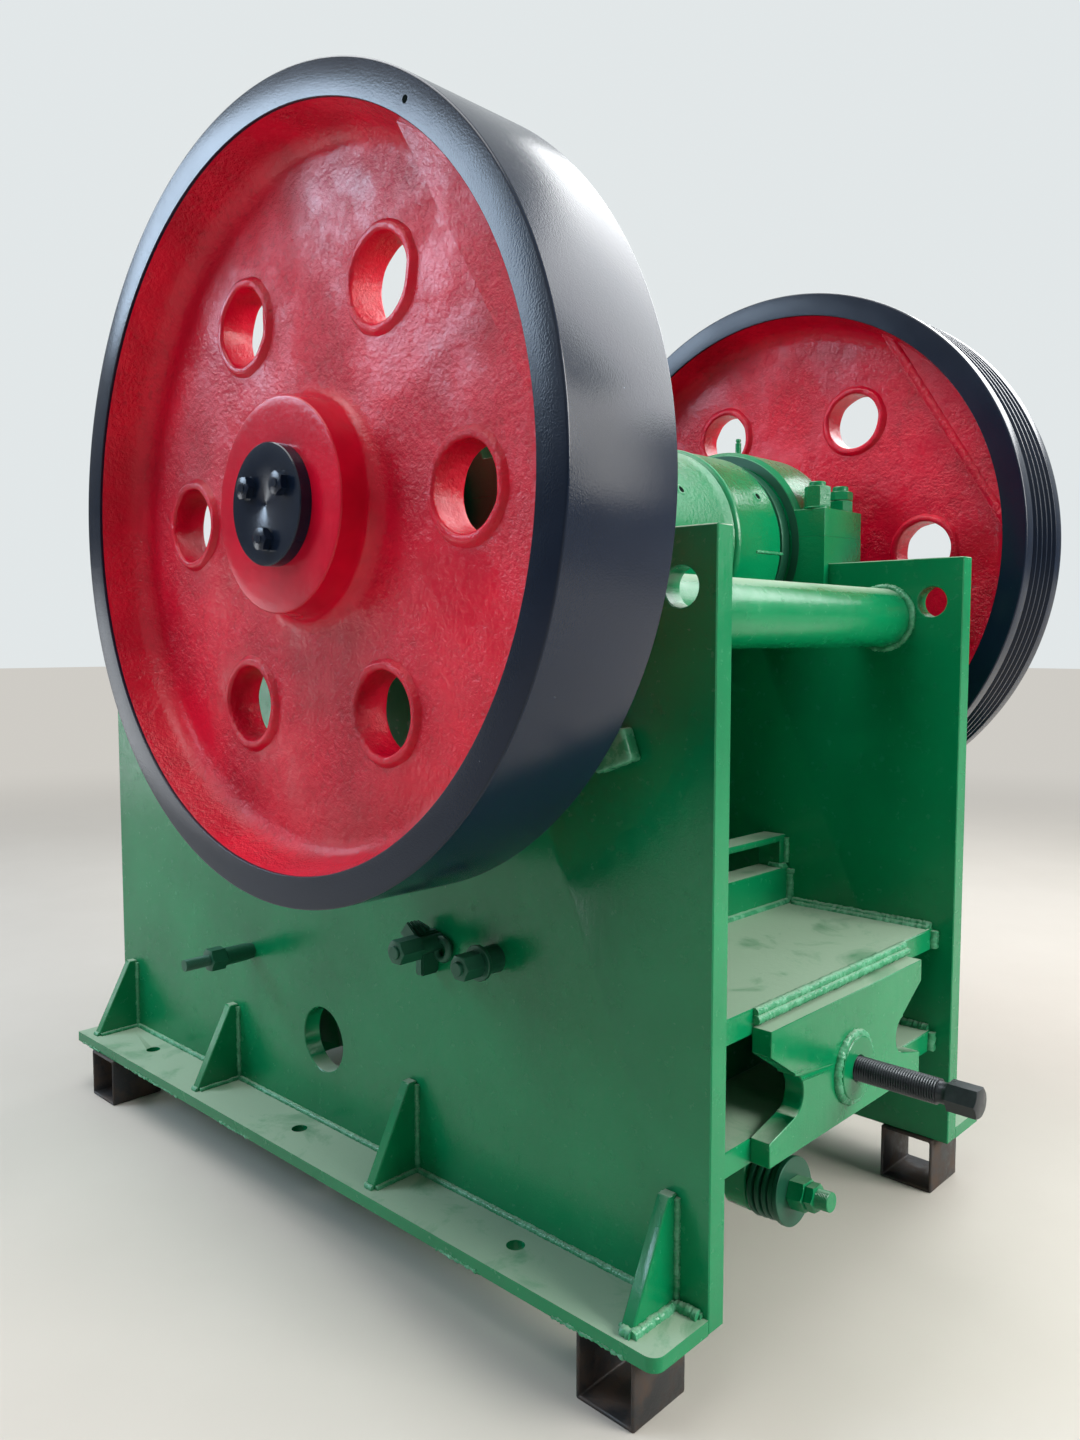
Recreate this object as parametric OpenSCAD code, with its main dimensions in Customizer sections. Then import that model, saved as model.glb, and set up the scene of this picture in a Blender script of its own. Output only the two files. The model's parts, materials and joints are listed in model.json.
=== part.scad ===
// Jaw crusher with one toggle, on four short feet of square tube.
// +X points to the toggle end, the plain flywheel is at -Y and the belt sheave
// is at +Y. The floor is z = 0 and the origin is under the middle of the machine.

/* [Side plates] */
// Thickness of each side plate
plate_t = 35; // [25:1:45]
// Height of the side plates
plate_h = 1065; // [1040:5:1090]
// From the shaft forward to the front edges
front_reach = 1158; // [1130:2:1200]
// From the shaft back to the rear edges
rear_reach = 507; // [490:1:530]
// Diameter of the lifting holes
lift_hole_d = 54; // [40:1:60]
// From the rear edge to the lifting holes
lift_inset = 56; // [50:1:60]
// From the top edge down to the lifting holes
lift_drop = 78; // [60:1:100]
// Diameter of the access hole at the toggle seat
access_d = 120; // [90:2:130]
// Access hole, forward of the shaft
access_x = 357; // [340:1:380]
// Access hole, above the foot flange's underside
access_z = 178; // [160:1:190]

/* [Base] */
// Thickness of the foot flanges
flange_t = 21; // [16:1:30]
// Width of a foot flange outside its side plate
flange_w = 114; // [100:2:140]
// Diameter of the anchor bolt holes
bolt_hole_d = 28; // [22:1:34]
// From the side plate's face to the anchor bolts
bolt_offset = 48; // [40:1:60]
// Pitch of the anchor bolts along a flange
bolt_pitch = 562; // [540:2:580]
// Middle anchor bolt, forward of the shaft
bolt_mid = 367; // [350:1:385]
// Thickness of the gussets
gusset_t = 20; // [12:1:30]
// Height of the gussets above the flange
gusset_h = 156; // [120:2:200]
// Reach of a gusset over the flange
gusset_reach = 94; // [70:2:98]
// Width of a gusset's cut top
gusset_tip = 18; // [12:1:30]
// Outside size of the square tube feet
foot_size = 100; // [80:5:120]
// Wall of the square tube feet
foot_wall = 6; // [4:1:10]
// Length of each foot
foot_len = 112; // [90:2:130]

/* [Wheels] */
// Outer radius of both wheels
wheel_r = 550; // [520:5:570]
// Width of both rims
rim_w = 186; // [170:2:200]
// From the side plate to the rim
wheel_gap = 141; // [130:1:160]
// Thickness of the rim, radially
rim_t = 45; // [38:1:55]
// Taper of the rim's inner wall down to the web
rim_draft = 14; // [6:1:20]
// Depth of the web below the rim's face
dish = 72; // [60:1:78]
// Radius of the wheel hubs
hub_r = 147; // [135:1:160]
// Depth of the hub's face below the rim's face
hub_drop = 16; // [8:1:24]
// Radius of the fillets at hub and rim
web_fillet = 30; // [15:1:40]
// Number of lightening holes in a web
web_holes = 6; // [5:1:7]
// Radius of the circle of the lightening holes
hole_circle = 322; // [300:2:345]
// Diameter of the lightening holes
hole_d = 112; // [90:2:130]
// Width of the raised lip around a lightening hole
lip_w = 13; // [8:1:18]
// Height of the raised lip
lip_h = 7; // [4:1:10]
// From the shaft to the straight edge of the counterweight
weight_edge = 425; // [410:1:460]
// Depth of the counterweight's face below the rim's face
weight_drop = 38; // [25:1:50]
// Direction of the counterweights, above the rear
weight_angle = 32; // [0:1:60]
// Number of belt grooves in the sheave
grooves = 5; // [3:1:6]
// Pitch of the belt grooves
groove_pitch = 25.5; // [22:0.5:28]
// Width of a belt groove at the rim
groove_w = 21; // [18:0.5:22]
// Depth of a belt groove
groove_depth = 19; // [14:0.5:24]

/* [Shaft] */
// Height of the shaft above the flange's underside
shaft_h = 1101; // [1080:1:1120]
// Radius of the bearing journals
journal_r = 80; // [65:1:90]
// Radius of the eccentric middle
ecc_r = 95; // [94:1:110]
// Throw of the eccentric
throw = 10; // [6:1:12]
// Radius of the shaft at the wheels
wheel_seat_r = 70; // [50:1:75]
// Radius of the seal collars beside the pitman
collar_r = 174; // [150:1:180]
// Radius of the end caps
cap_r = 83; // [76:1:100]
// How far the end caps stand past the rim's face
cap_proud = 2; // [0.5:0.5:6]
// Radius of the circle of the cap bolts
cap_bolt_circle = 47; // [40:1:60]
// Width of the cap bolts across their corners
cap_bolt_d = 34; // [24:1:40]
// Height of the cap bolt heads
cap_bolt_h = 13; // [8:1:18]

/* [Bearing housings] */
// Radius of the round cradle cut into a side plate
cradle_r = 200; // [185:1:210]
// From the shaft down to the underside of a housing's inner block
block_drop = 130; // [100:5:160]
// Radius of the housing's inner face
seal_r = 192; // [180:1:205]
// How far a housing stands inside its side plate
housing_in = 18; // [12:1:24]
// How far a housing stands outside its side plate
housing_out = 92; // [80:1:105]
// Reach of the bolted ears from the shaft
ear_reach = 245; // [242:1:270]
// Height of the ears above the side plates' tops
ear_top = 105; // [95:1:126]
// Height of a housing's split above the side plates' tops
ear_split = 52; // [40:1:60]
// Radius of the ear bolts
ear_bolt_r = 15; // [12:1:18]

/* [Pitman] */
// From the side plate's inner face to the pitman's head
head_gap = 57; // [50:1:64]
// Radius of the head between its collars
head_r = 178; // [165:1:180]
// Radius of the collars at the head's ends
head_collar_r = 187; // [182:1:192]
// Length of those collars
head_collar_w = 150; // [100:2:170]
// Angle between the jaws
nip = 18.5; // [16:0.5:19]
// Width of the jaws
jaw_w = 600; // [560:5:680]
// Room between the moving jaw and a cheek plate
jaw_side = 25.7; // [18:0.1:32]
// Length of the moving jaw's seat
jaw_len = 1110; // [1040:10:1120]
// Thickness of the jaw plates, teeth included
die_t = 70; // [60:1:80]
// Depth of the jaw teeth
tooth_h = 20; // [12:1:26]
// Number of teeth across a jaw
teeth = 12; // [8:1:14]
// Thickness of the pitman's front plate
face_t = 45; // [35:1:50]
// Thickness of the pitman's ribs
rib_t = 36; // [25:1:45]

/* [Front end] */
// From the shaft forward to the fixed jaw's teeth
fixed_face = 764; // [750:1:790]
// Thickness of the front wall
front_wall_t = 60; // [45:1:70]
// Depth of the ribs in front of the wall
front_rib_w = 205; // [150:5:215]
// Thickness of the front ribs
front_rib_t = 30; // [20:1:40]
// Thickness of the cheek plates
cheek_t = 34; // [25:1:38]
// Underside of the lowest front rib above the flange's underside
rib_low = 110; // [90:5:130]
// Pitch of the front ribs
rib_pitch = 425; // [410:5:440]

/* [Rear end] */
// Thickness of the toggle beam's top and bottom plates
beam_t = 38; // [30:1:42]
// Height of the beam's top face above the flange's underside
beam_top = 395; // [385:1:405]
// Clear height inside the toggle beam
beam_clear = 152; // [140:1:160]
// Thickness of the rear screw plate
rear_plate_t = 32; // [25:1:38]
// Width of the rear screw plate
rear_plate_w = 483; // [460:1:520]
// Width of that plate at its waist
waist_w = 300; // [280:2:320]
// Height of the stepped bar above the beam
bar_h = 71; // [60:1:85]
// Depth of the stepped bar
bar_w = 60; // [45:1:70]
// Height of the bridge above the bar
bridge_h = 64; // [50:1:80]
// Outer radius of the rear tie pipe
pipe_r = 54; // [45:1:58]
// Wall of the rear tie pipe
pipe_wall = 10; // [6:1:14]
// Tie pipe, behind the shaft
pipe_x = 359; // [345:1:365]
// Tie pipe, above the flange's underside
pipe_z = 959; // [930:1:970]
// Radius of the adjusting screw
screw_r = 20; // [16:0.5:24]
// Length of the adjusting screw
screw_len = 373; // [350:1:400]
// Radius of the welded screw boss
boss_r = 50; // [40:1:55]
// Width of the toggle plate
toggle_w = 440; // [400:10:460]
// Thickness of the toggle plate
toggle_t = 44; // [36:1:46]
// Radius of the tension rod
rod_r = 15; // [12:0.5:18]
// Tilt of the tension rod, up to the rear
rod_tilt = 5; // [4:0.5:6]
// Tension rod, to the near side of the middle
rod_y = 110; // [90:1:130]
// Radius of the spring discs on the tension rod
disc_r = 51; // [44:1:54]

/* [Hidden] */
$fn = 96;
green = "seagreen";
red = "crimson";
black = "midnightblue";
steel = "dimgray";
rust = "saddlebrown";
// Clearance of a seated piece, and room beside a moving one
fit = 0.3;
run = 6;
// Cut past a face, so that a hole goes right through
past = 2;
half_in = jaw_w / 2 + jaw_side + cheek_t + fit;
head_half = half_in - head_gap;
plate_out = half_in + plate_t;
rim_in = plate_out + wheel_gap;
rim_out = rim_in + rim_w;
flange_out = plate_out + flange_w;
bolt_y = plate_out + bolt_offset;
front_edge = -front_reach;
lift_x = rear_reach - lift_inset;
lift_z = plate_h - lift_drop;
// Screw height, at the middle of the beam's clear height less the block's sink
beam_in_top = beam_top - beam_t;
beam_in_bottom = beam_in_top - beam_clear;
beam_bottom = beam_in_bottom - beam_t;
screw_z = (beam_in_top + beam_in_bottom) / 2 - 31;
rear_out = rear_reach - 5;
beam_rear = rear_out - rear_plate_t;
beam_front = 111;
block_rear = 330;
block_front = 150;
screw_end = block_rear + fit + screw_len;
// The frame's origin lies under the middle of the machine's length
shaft_x = (front_reach - screw_end) / 2;
// Eccentric axis at rest, opposite the counterweights
ecc_x = -throw * cos(weight_angle);
ecc_z = -throw * sin(weight_angle);
// Upper end of the moving jaw's seat, from the eccentric axis
seat_x = -265;
seat_z = 20;
// Toggle seats: fixed one in the block, moving one in the pitman
seat_r = 24;
toggle_rear = [block_front + 12, screw_z + 8];
toggle_front = [-383, 190];
toggle_tilt = atan2(toggle_rear[1] - toggle_front[1], toggle_rear[0] - toggle_front[0]);
toggle_run = norm(toggle_rear - toggle_front);
// The loop is open here: the pitman passes this gap on each turn
toggle_gap = throw * (1 + cos(weight_angle - toggle_tilt)) + run;
slot_low = seat_r + throw * (1 + sin(weight_angle - toggle_tilt)) + run;
slot_high = seat_r + throw * (1 - sin(weight_angle - toggle_tilt)) + run;
// Middles of the four feet, in X and Y
foot_at = [[-1027, -plate_out - 63], [-1029, plate_out + 6], [417, -plate_out - 51], [431, plate_out + 14]];
gusset_xs = [-1103, -662, -97, 444];
rod_x = 466;
rod_z = 75;

// Moves a piece from the shaft's frame into the part's own frame
module in_place() {
    translate([shaft_x, 0, foot_size]) children();
}

module at_shaft() {
    in_place() translate([0, 0, shaft_h]) children();
}

// Frame of the moving jaw: x = 0 is its seat and z runs up along it
module jaw_frame() {
    at_shaft()
        translate([ecc_x + seat_x, 0, ecc_z + seat_z])
            rotate([0, nip, 0]) children();
}

// A profile in X and Z, spread evenly to both sides of y = 0
module across(width) {
    rotate([90, 0, 0]) linear_extrude(width, center = true) children();
}

module cross_cylinder(r, y0, y1) {
    translate([0, y0, 0]) rotate([-90, 0, 0]) cylinder(r = r, h = y1 - y0);
}

module box_from(low, high) {
    translate(low) cube(high - low);
}

// Side plate with its bearing cradle, lifting hole and access hole
module side_plate(side) {
    color(green) in_place() difference() {
        translate([0, side * (half_in + plate_t / 2), 0]) across(plate_t)
            translate([front_edge, 0]) square([front_reach + rear_reach, plate_h]);
        translate([0, 0, shaft_h]) cross_cylinder(cradle_r, -plate_out - past, plate_out + past);
        translate([lift_x, 0, lift_z]) cross_cylinder(lift_hole_d / 2, -plate_out - past, plate_out + past);
        translate([-access_x, 0, access_z]) cross_cylinder(access_d / 2, -plate_out - past, plate_out + past);
    }
}

module side_plate_near() { side_plate(-1); }
module side_plate_far() { side_plate(1); }

// Foot flange outside a side plate, drilled for three anchor bolts
module base_flange(side) {
    corner = 18;
    color(green) in_place() difference() {
        linear_extrude(flange_t) difference() {
            translate([front_edge, side > 0 ? plate_out : -flange_out])
                square([front_reach + rear_reach, flange_w]);
            translate([rear_reach, side * flange_out]) difference() {
                square(2 * corner, center = true);
                translate([-corner, -side * corner]) circle(r = corner);
            }
        }
        for (i = [-1:1])
            translate([-bolt_mid + i * bolt_pitch, side * bolt_y, -past])
                cylinder(d = bolt_hole_d, h = flange_t + 2 * past);
    }
}

module base_flange_near() { base_flange(-1); }
module base_flange_far() { base_flange(1); }

// Gussets between each side plate and its flange, with cut tops
module gussets() {
    color(green) in_place() for (side = [-1, 1]) for (x = gusset_xs)
        translate([x - gusset_t / 2, side * plate_out, flange_t])
            rotate([90, 0, 90]) linear_extrude(gusset_t)
                scale([side, 1]) polygon([
                    [0, 0], [gusset_reach, 0], [gusset_reach, 6],
                    [gusset_tip, gusset_h], [0, gusset_h]
                ]);
}

// Foot of square tube that lies crosswise with open ends
module foot(at) {
    clear = foot_size - 2 * foot_wall;
    color(rust) translate([shaft_x + at[0] - foot_size / 2, at[1] - foot_len / 2, 0]) difference() {
        cube([foot_size, foot_len, foot_size]);
        translate([foot_wall, -past, foot_wall]) cube([clear, foot_len + 2 * past, clear]);
    }
}

module foot_front_near() { foot(foot_at[0]); }
module foot_front_far() { foot(foot_at[1]); }
module foot_rear_near() { foot(foot_at[2]); }
module foot_rear_far() { foot(foot_at[3]); }

wall_back = -fixed_face - die_t - fit;
wall_low = 40;

// Front wall that backs the fixed jaw
module front_wall() {
    color(green) in_place()
        box_from([wall_back - front_wall_t, -half_in, wall_low], [wall_back, half_in, plate_h - 5]);
}

rib_levels = [rib_low, rib_low + rib_pitch, rib_low + 2 * rib_pitch];

// Crosswise ribs in front of the wall
module front_ribs() {
    color(green) in_place() for (z = rib_levels)
        box_from([wall_back - front_wall_t - front_rib_w, -half_in, z],
            [wall_back - front_wall_t, half_in, z + front_rib_t]);
}

// Upright stiffeners between the crosswise ribs
module front_stiffeners() {
    depth = front_rib_w * 0.8;
    color(green) in_place() for (y = [-half_in / 2, 0, half_in / 2]) for (i = [0, 1])
        box_from([wall_back - front_wall_t - depth, y - 12, rib_levels[i] + front_rib_t],
            [wall_back - front_wall_t, y + 12, rib_levels[i + 1]]);
}

die_foot = 75;
ledge_t = 45;

// Ledge bar that the fixed jaw stands on
module jaw_ledge() {
    color(green) in_place()
        box_from([wall_back, -half_in, wall_low], [wall_back + ledge_t, half_in, die_foot]);
}

// Corrugated jaw plate, teeth towards -X, seat on x = 0
module jaw_plate(length) {
    pitch = jaw_w / teeth;
    flat = pitch * 0.22;
    linear_extrude(length) polygon(concat(
        [[0, -jaw_w / 2]],
        [for (i = [0:teeth - 1]) each [
            [-die_t + tooth_h, -jaw_w / 2 + i * pitch],
            [-die_t, -jaw_w / 2 + i * pitch + pitch / 2 - flat / 2],
            [-die_t, -jaw_w / 2 + i * pitch + pitch / 2 + flat / 2]
        ]],
        [[-die_t + tooth_h, jaw_w / 2], [0, jaw_w / 2]]
    ));
}

module fixed_jaw_plate() {
    color(steel) in_place() translate([wall_back + fit, 0, die_foot + fit])
        mirror([1, 0, 0]) jaw_plate(plate_h - die_foot - 40);
}

// Cheek plates that line the sides of the crushing chamber
module cheek_plates() {
    low = die_foot + 30;
    high = plate_h - 60;
    slope = tan(nip);
    foot_x = -fixed_face + 90;
    y = half_in - fit - cheek_t / 2;
    color(steel) in_place() for (side = [-1, 1]) translate([0, side * y, 0]) across(cheek_t) polygon([
        [wall_back + 2, low], [foot_x, low],
        [foot_x + (high - low) * slope, high], [wall_back + 2, high]
    ]);
}

// Pipe that ties the side plates at the top of the rear
module tie_pipe() {
    color(green) in_place() translate([pipe_x, 0, pipe_z]) difference() {
        cross_cylinder(pipe_r, -half_in, half_in);
        cross_cylinder(pipe_r - pipe_wall, -half_in - past, half_in + past);
    }
}

// Top and bottom plates of the toggle beam
module beam_top_plate() {
    color(green) in_place()
        box_from([beam_front, -half_in, beam_in_top], [beam_rear, half_in, beam_top]);
}

module beam_bottom_plate() {
    color(green) in_place()
        box_from([beam_front, -half_in, beam_bottom], [beam_rear, half_in, beam_in_bottom]);
}

module beam_bar() {
    color(green) in_place()
        box_from([beam_front, -half_in, beam_top], [beam_front + bar_w, half_in, beam_top + bar_h]);
}

// Low bridge on the bar: a thin shelf on two end legs
module beam_bridge() {
    leg = 22;
    shelf = 12;
    z0 = beam_top + bar_h;
    color(green) in_place() difference() {
        box_from([beam_front, -half_in, z0], [beam_front + bar_w - 8, half_in, z0 + bridge_h]);
        box_from([beam_front - past, -half_in + leg, z0 - past],
            [beam_front + bar_w, half_in - leg, z0 + bridge_h - shelf]);
    }
}

// Upright plate across the beam's rear, with a waist cut into both sides
module rear_screw_plate() {
    w = rear_plate_w / 2;
    n = waist_w / 2;
    mid = 250;
    lip = [beam_top - 26 - 37, beam_bottom + 40];
    round_r = 24;
    color(green) in_place() difference() {
        translate([rear_out - rear_plate_t, 0, 0]) rotate([90, 0, 90]) linear_extrude(rear_plate_t)
            difference() {
                translate([-w, beam_bottom + 3]) square([2 * w, beam_top - 26 - beam_bottom - 3]);
                for (s = [-1, 1]) scale([s, 1]) {
                    polygon([
                        [w + past, lip[0]], [w, lip[0]], [n + round_r, mid + 39],
                        [n + round_r, mid - 27], [w, lip[1]], [w + past, lip[1]]
                    ]);
                    translate([n + round_r, mid + 5]) scale([1, 1.25]) circle(r = round_r);
                    translate([n + round_r, mid - 27]) square([past, 66]);
                }
            }
        translate([rear_out - rear_plate_t - past, 0, screw_z]) rotate([0, 90, 0])
            cylinder(r = screw_r + fit, h = rear_plate_t + 2 * past);
    }
}

// Threaded boss welded on the rear plate
module screw_boss() {
    color(green) in_place() translate([rear_out, 0, screw_z]) rotate([0, 90, 0]) difference() {
        cylinder(r = boss_r, h = 11);
        translate([0, 0, -past]) cylinder(r = screw_r + fit, h = 11 + 2 * past);
    }
}

// Adjusting screw with a turned neck and a hexagon end
module adjusting_screw() {
    head = 46;
    neck = 16;
    color(black) in_place() translate([block_rear + fit, 0, screw_z]) rotate([0, 90, 0]) union() {
        cylinder(r = screw_r, h = screw_len - head - neck);
        translate([0, 0, screw_len - head - neck]) cylinder(r = screw_r - 4, h = neck);
        translate([0, 0, screw_len - head]) rotate([0, 0, 30]) cylinder(r = screw_r + 4, h = head, $fn = 6);
    }
}

// Toggle block that slides in the beam and holds the toggle's rear end
module toggle_block() {
    w = toggle_w / 2 + 10;
    color(green) in_place() difference() {
        box_from([block_front, -w, beam_in_bottom + fit], [block_rear, w, beam_in_top - fit]);
        translate([toggle_rear[0], 0, toggle_rear[1]]) cross_cylinder(seat_r + fit, -w - past, w + past);
        translate([toggle_rear[0], 0, toggle_rear[1]]) rotate([0, -toggle_tilt, 0])
            box_from([-60, -w - past, -seat_r - 3], [-6, w + past, seat_r + 3]);
    }
}

// Toggle plate with round ends, seated in the block
module toggle_plate() {
    color(steel) in_place() translate([toggle_rear[0], 0, toggle_rear[1]]) rotate([0, -toggle_tilt, 0])
        across(toggle_w) union() {
            circle(r = seat_r);
            translate([-toggle_run + seat_r, 0]) circle(r = seat_r);
            translate([-toggle_run + seat_r, -toggle_t / 2]) square([toggle_run - seat_r, toggle_t]);
        }
}

// Moves a piece into the frame of the tilted tension rod
module rod_frame() {
    in_place() translate([rod_x, -rod_y, rod_z]) rotate([0, 90 - rod_tilt, 0]) children();
}

disc_stack = 56;
guide_t = 40;
guide_half = rod_r + run;
guide_rise = throw + 3;
guide_rear = -disc_stack - run - 3;
guide_lug_r = guide_half + 16;

// Round-ended lug under the beam, slotted for the tension rod's rise and fall
module rod_guide_lug() {
    gx = rod_x + guide_rear * cos(rod_tilt) - guide_t;
    gz = rod_z + (guide_rear - guide_t / 2) * sin(rod_tilt) - ecc_z;
    color(green) in_place() translate([gx, -rod_y, gz]) rotate([90, 0, 90]) linear_extrude(guide_t)
        difference() {
            union() {
                translate([0, -guide_rise]) circle(r = guide_lug_r);
                translate([-guide_lug_r, -guide_rise]) square([2 * guide_lug_r, beam_bottom - gz + guide_rise]);
            }
            for (s = [-1, 1]) translate([0, s * guide_rise]) circle(r = guide_half);
            translate([-guide_half, -guide_rise]) square([2 * guide_half, 2 * guide_rise]);
        }
}

// Rough block welded to the near side plate
module plate_lug() {
    color(green) in_place() translate([350, -plate_out - 26, 768]) rotate([0, -20, 0])
        translate([-34, 0, -24]) cube([68, 26, 48]);
}

// Outer form of a bearing housing, turned about the shaft
module housing_round(side) {
    inner = half_in - housing_in;
    outer = plate_out + housing_out;
    rotate([-90, 0, 0]) scale([1, 1, side]) rotate_extrude() polygon([
        [journal_r + fit, inner], [seal_r, inner], [cradle_r - fit, inner + 10],
        [cradle_r - fit, outer - 10], [cradle_r - 10 - fit, outer], [journal_r + fit, outer]
    ]);
}

module housing_ears(side, z0, z1) {
    inner = half_in - housing_in;
    outer = plate_out + housing_out;
    difference() {
        box_from([-ear_reach, side > 0 ? inner : -outer, z0], [ear_reach, side > 0 ? outer : -inner, z1]);
        cross_cylinder(seal_r - 10, -outer - past, outer + past);
    }
}

// Square block of a housing against the side plate's inner face
module housing_block(side) {
    inner = half_in - housing_in;
    outer = half_in - fit;
    difference() {
        box_from([-ear_reach, side > 0 ? inner : -outer, -block_drop],
            [ear_reach, side > 0 ? outer : -inner, plate_h - shaft_h + fit]);
        cross_cylinder(seal_r - 10, -outer - past, outer + past);
    }
}

split_z = plate_h - shaft_h + ear_split;

// Reach of a block that cuts away all of a housing on one side of a level
all_x = ear_reach + 50;
all_y = rim_out;

// Lower halves of the bearing housings, seated in the cradles and on the plates' tops
module bearing_housings() {
    color(green) at_shaft() for (side = [-1, 1]) difference() {
        union() {
            housing_round(side);
            housing_ears(side, plate_h - shaft_h + fit, split_z);
            housing_block(side);
        }
        box_from([-all_x, -all_y, split_z - fit / 2], [all_x, all_y, all_x]);
    }
}

// Caps of the bearing housings, held down by bolts through their ears
module bearing_caps() {
    color(green) at_shaft() for (side = [-1, 1]) difference() {
        union() {
            housing_round(side);
            housing_ears(side, split_z, plate_h - shaft_h + ear_top);
        }
        box_from([-all_x, -all_y, -all_x], [all_x, all_y, split_z + fit / 2]);
    }
}

hub_in = plate_out + housing_out + run;

// Eccentric shaft: stepped journals, offset middle and two seal collars
module eccentric_shaft() {
    bearing_in = half_in - housing_in;
    collar_a = head_half + run;
    collar_b = bearing_in - run;
    end = rim_out - hub_drop - fit;
    color(steel) at_shaft() union() {
        translate([ecc_x, 0, ecc_z]) cross_cylinder(ecc_r, -head_half, head_half);
        for (s = [-1, 1]) scale([1, s, 1]) {
            cross_cylinder(journal_r, head_half - 1, plate_out + housing_out + 2);
            cross_cylinder(collar_r, collar_a, collar_b);
            cross_cylinder(wheel_seat_r, plate_out + housing_out, end);
        }
    }
}

rim_wall = wheel_r - rim_t;
rim_root = rim_wall - rim_draft;
rim_join = rim_root - web_fillet * 0.8;
hub_join = hub_r + web_fillet;
web_face = rim_w - dish;

// Repeats a section's shape on both faces of the web
module both_faces() {
    for (m = [0, 1]) translate([0, m * rim_w]) mirror([0, m]) children();
}

// Section of a wheel's hub with the inner edge of the web, as radius against distance
module hub_section() {
    f = web_fillet;
    polygon([
        [wheel_seat_r + fit, hub_in - rim_in], [hub_r, hub_in - rim_in], [hub_r, dish],
        [hub_join, dish], [hub_join, web_face],
        [hub_r, web_face], [hub_r, rim_w - hub_drop], [wheel_seat_r + fit, rim_w - hub_drop]
    ]);
    both_faces() difference() {
        translate([hub_r - 1, dish - f]) square([f + 1, f + 1]);
        translate([hub_join, dish - f]) circle(r = f);
    }
}

// Section of a wheel's rim with the outer edge of the web
module rim_section() {
    f = web_fillet;
    polygon([
        [rim_join, dish], [rim_root, dish], [rim_wall, 0], [wheel_r - 4, 0], [wheel_r, 4],
        [wheel_r, rim_w - 4], [wheel_r - 4, rim_w], [rim_wall, rim_w], [rim_root, web_face],
        [rim_join, web_face]
    ]);
    both_faces() difference() {
        translate([rim_join, dish - f]) square([f, f + 1]);
        translate([rim_join, dish - f]) circle(r = f);
    }
}

// Raised lip round a lightening hole, on one face of the web
module hole_lip(r, y) {
    translate([0, y, 0]) rotate([-90, 0, 0]) rotate_extrude() difference() {
        translate([r - 1, -lip_h]) square([lip_w + 1, lip_h + 1]);
        translate([r + lip_w, -lip_h]) circle(r = lip_h * 0.8);
    }
}

// Everything of a wheel past the straight edge of its counterweight
module past_weight_edge() {
    rotate([0, -weight_angle, 0])
        translate([weight_edge, -1, -wheel_r]) cube([wheel_r, rim_w + 2, 2 * wheel_r]);
}

// Flat web of a cast wheel with its holes and their lips, from its inner face outward
module wheel_web() {
    difference() {
        union() {
            rotate([-90, 0, 0]) rotate_extrude($fn = 128)
                translate([hub_join + fit, dish]) square([rim_join - hub_join - 2 * fit, web_face - dish]);
            for (i = [0:web_holes - 1]) rotate([0, -i * 360 / web_holes, 0])
                translate([hole_circle, 0, 0]) {
                    hole_lip(hole_d / 2, dish);
                    translate([0, rim_w, 0]) mirror([0, 1, 0]) hole_lip(hole_d / 2, dish);
                }
        }
        for (i = [0:web_holes - 1]) rotate([0, -i * 360 / web_holes, 0])
            translate([hole_circle, 0, 0]) cross_cylinder(hole_d / 2, -past, rim_w + past);
        past_weight_edge();
    }
}

// Rim of a cast wheel with the counterweight in it: a segment of a disc
module wheel_rim() {
    rotate([-90, 0, 0]) rotate_extrude($fn = 128) rim_section();
    intersection() {
        cross_cylinder(rim_wall + 2, weight_drop, rim_w - weight_drop);
        past_weight_edge();
    }
}

module wheel_hub() {
    rotate([-90, 0, 0]) rotate_extrude($fn = 128) hub_section();
}

module on_far_side() {
    at_shaft() translate([0, rim_in, 0]) children();
}

module on_near_side() {
    at_shaft() mirror([0, 1, 0]) translate([0, rim_in, 0]) children();
}

module flywheel_hub() { color(red) on_near_side() wheel_hub(); }
module flywheel_web() { color(red) on_near_side() wheel_web(); }
module flywheel_rim() { color(black) on_near_side() wheel_rim(); }
module belt_sheave_hub() { color(red) on_far_side() wheel_hub(); }
module belt_sheave_web() { color(red) on_far_side() wheel_web(); }

// Rim of the belt sheave, with a band of V grooves turned into it
module belt_sheave_rim() {
    bottom = groove_w - 2 * groove_depth * tan(19);
    color(black) on_far_side() difference() {
        wheel_rim();
        rotate([-90, 0, 0]) rotate_extrude($fn = 128)
            for (i = [0:grooves - 1])
                translate([wheel_r, rim_w / 2 + (i - (grooves - 1) / 2) * groove_pitch]) polygon([
                    [1, groove_w / 2 + 0.35], [-groove_depth, bottom / 2],
                    [-groove_depth, -bottom / 2], [1, -groove_w / 2 - 0.35]
                ]);
    }
}

// End caps that hold the wheels on the shaft, each with three bolts
module shaft_caps() {
    color(black) at_shaft() for (side = [-1, 1]) scale([1, side, 1]) union() {
        cross_cylinder(cap_r, rim_out - hub_drop, rim_out + cap_proud);
        for (a = [31, 149, 270]) rotate([0, -a, 0]) translate([cap_bolt_circle, 0, 0])
            rotate([0, a, 0]) translate([0, rim_out + cap_proud - 1, 0]) rotate([-90, 0, 0])
                cylinder(d = cap_bolt_d, h = cap_bolt_h + 1, $fn = 6);
    }
}

// Pitman's back: middles of its ribs, and half the width of its plate and toe
rib_ys = [for (k = [-1, -0.34, 0.34, 1]) k * (jaw_w / 2 - 35)];
back_half = jaw_w / 2 - 10;
toe_wall = 32;
toe_front = toggle_gap + seat_r + toe_wall;
// Reach of the cut that keeps ribs and bars clear of the toe, to the rear and down
toe_cut = 874;
neck_low = 150;
neck_high = 95;
neck_rear = 190;

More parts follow.
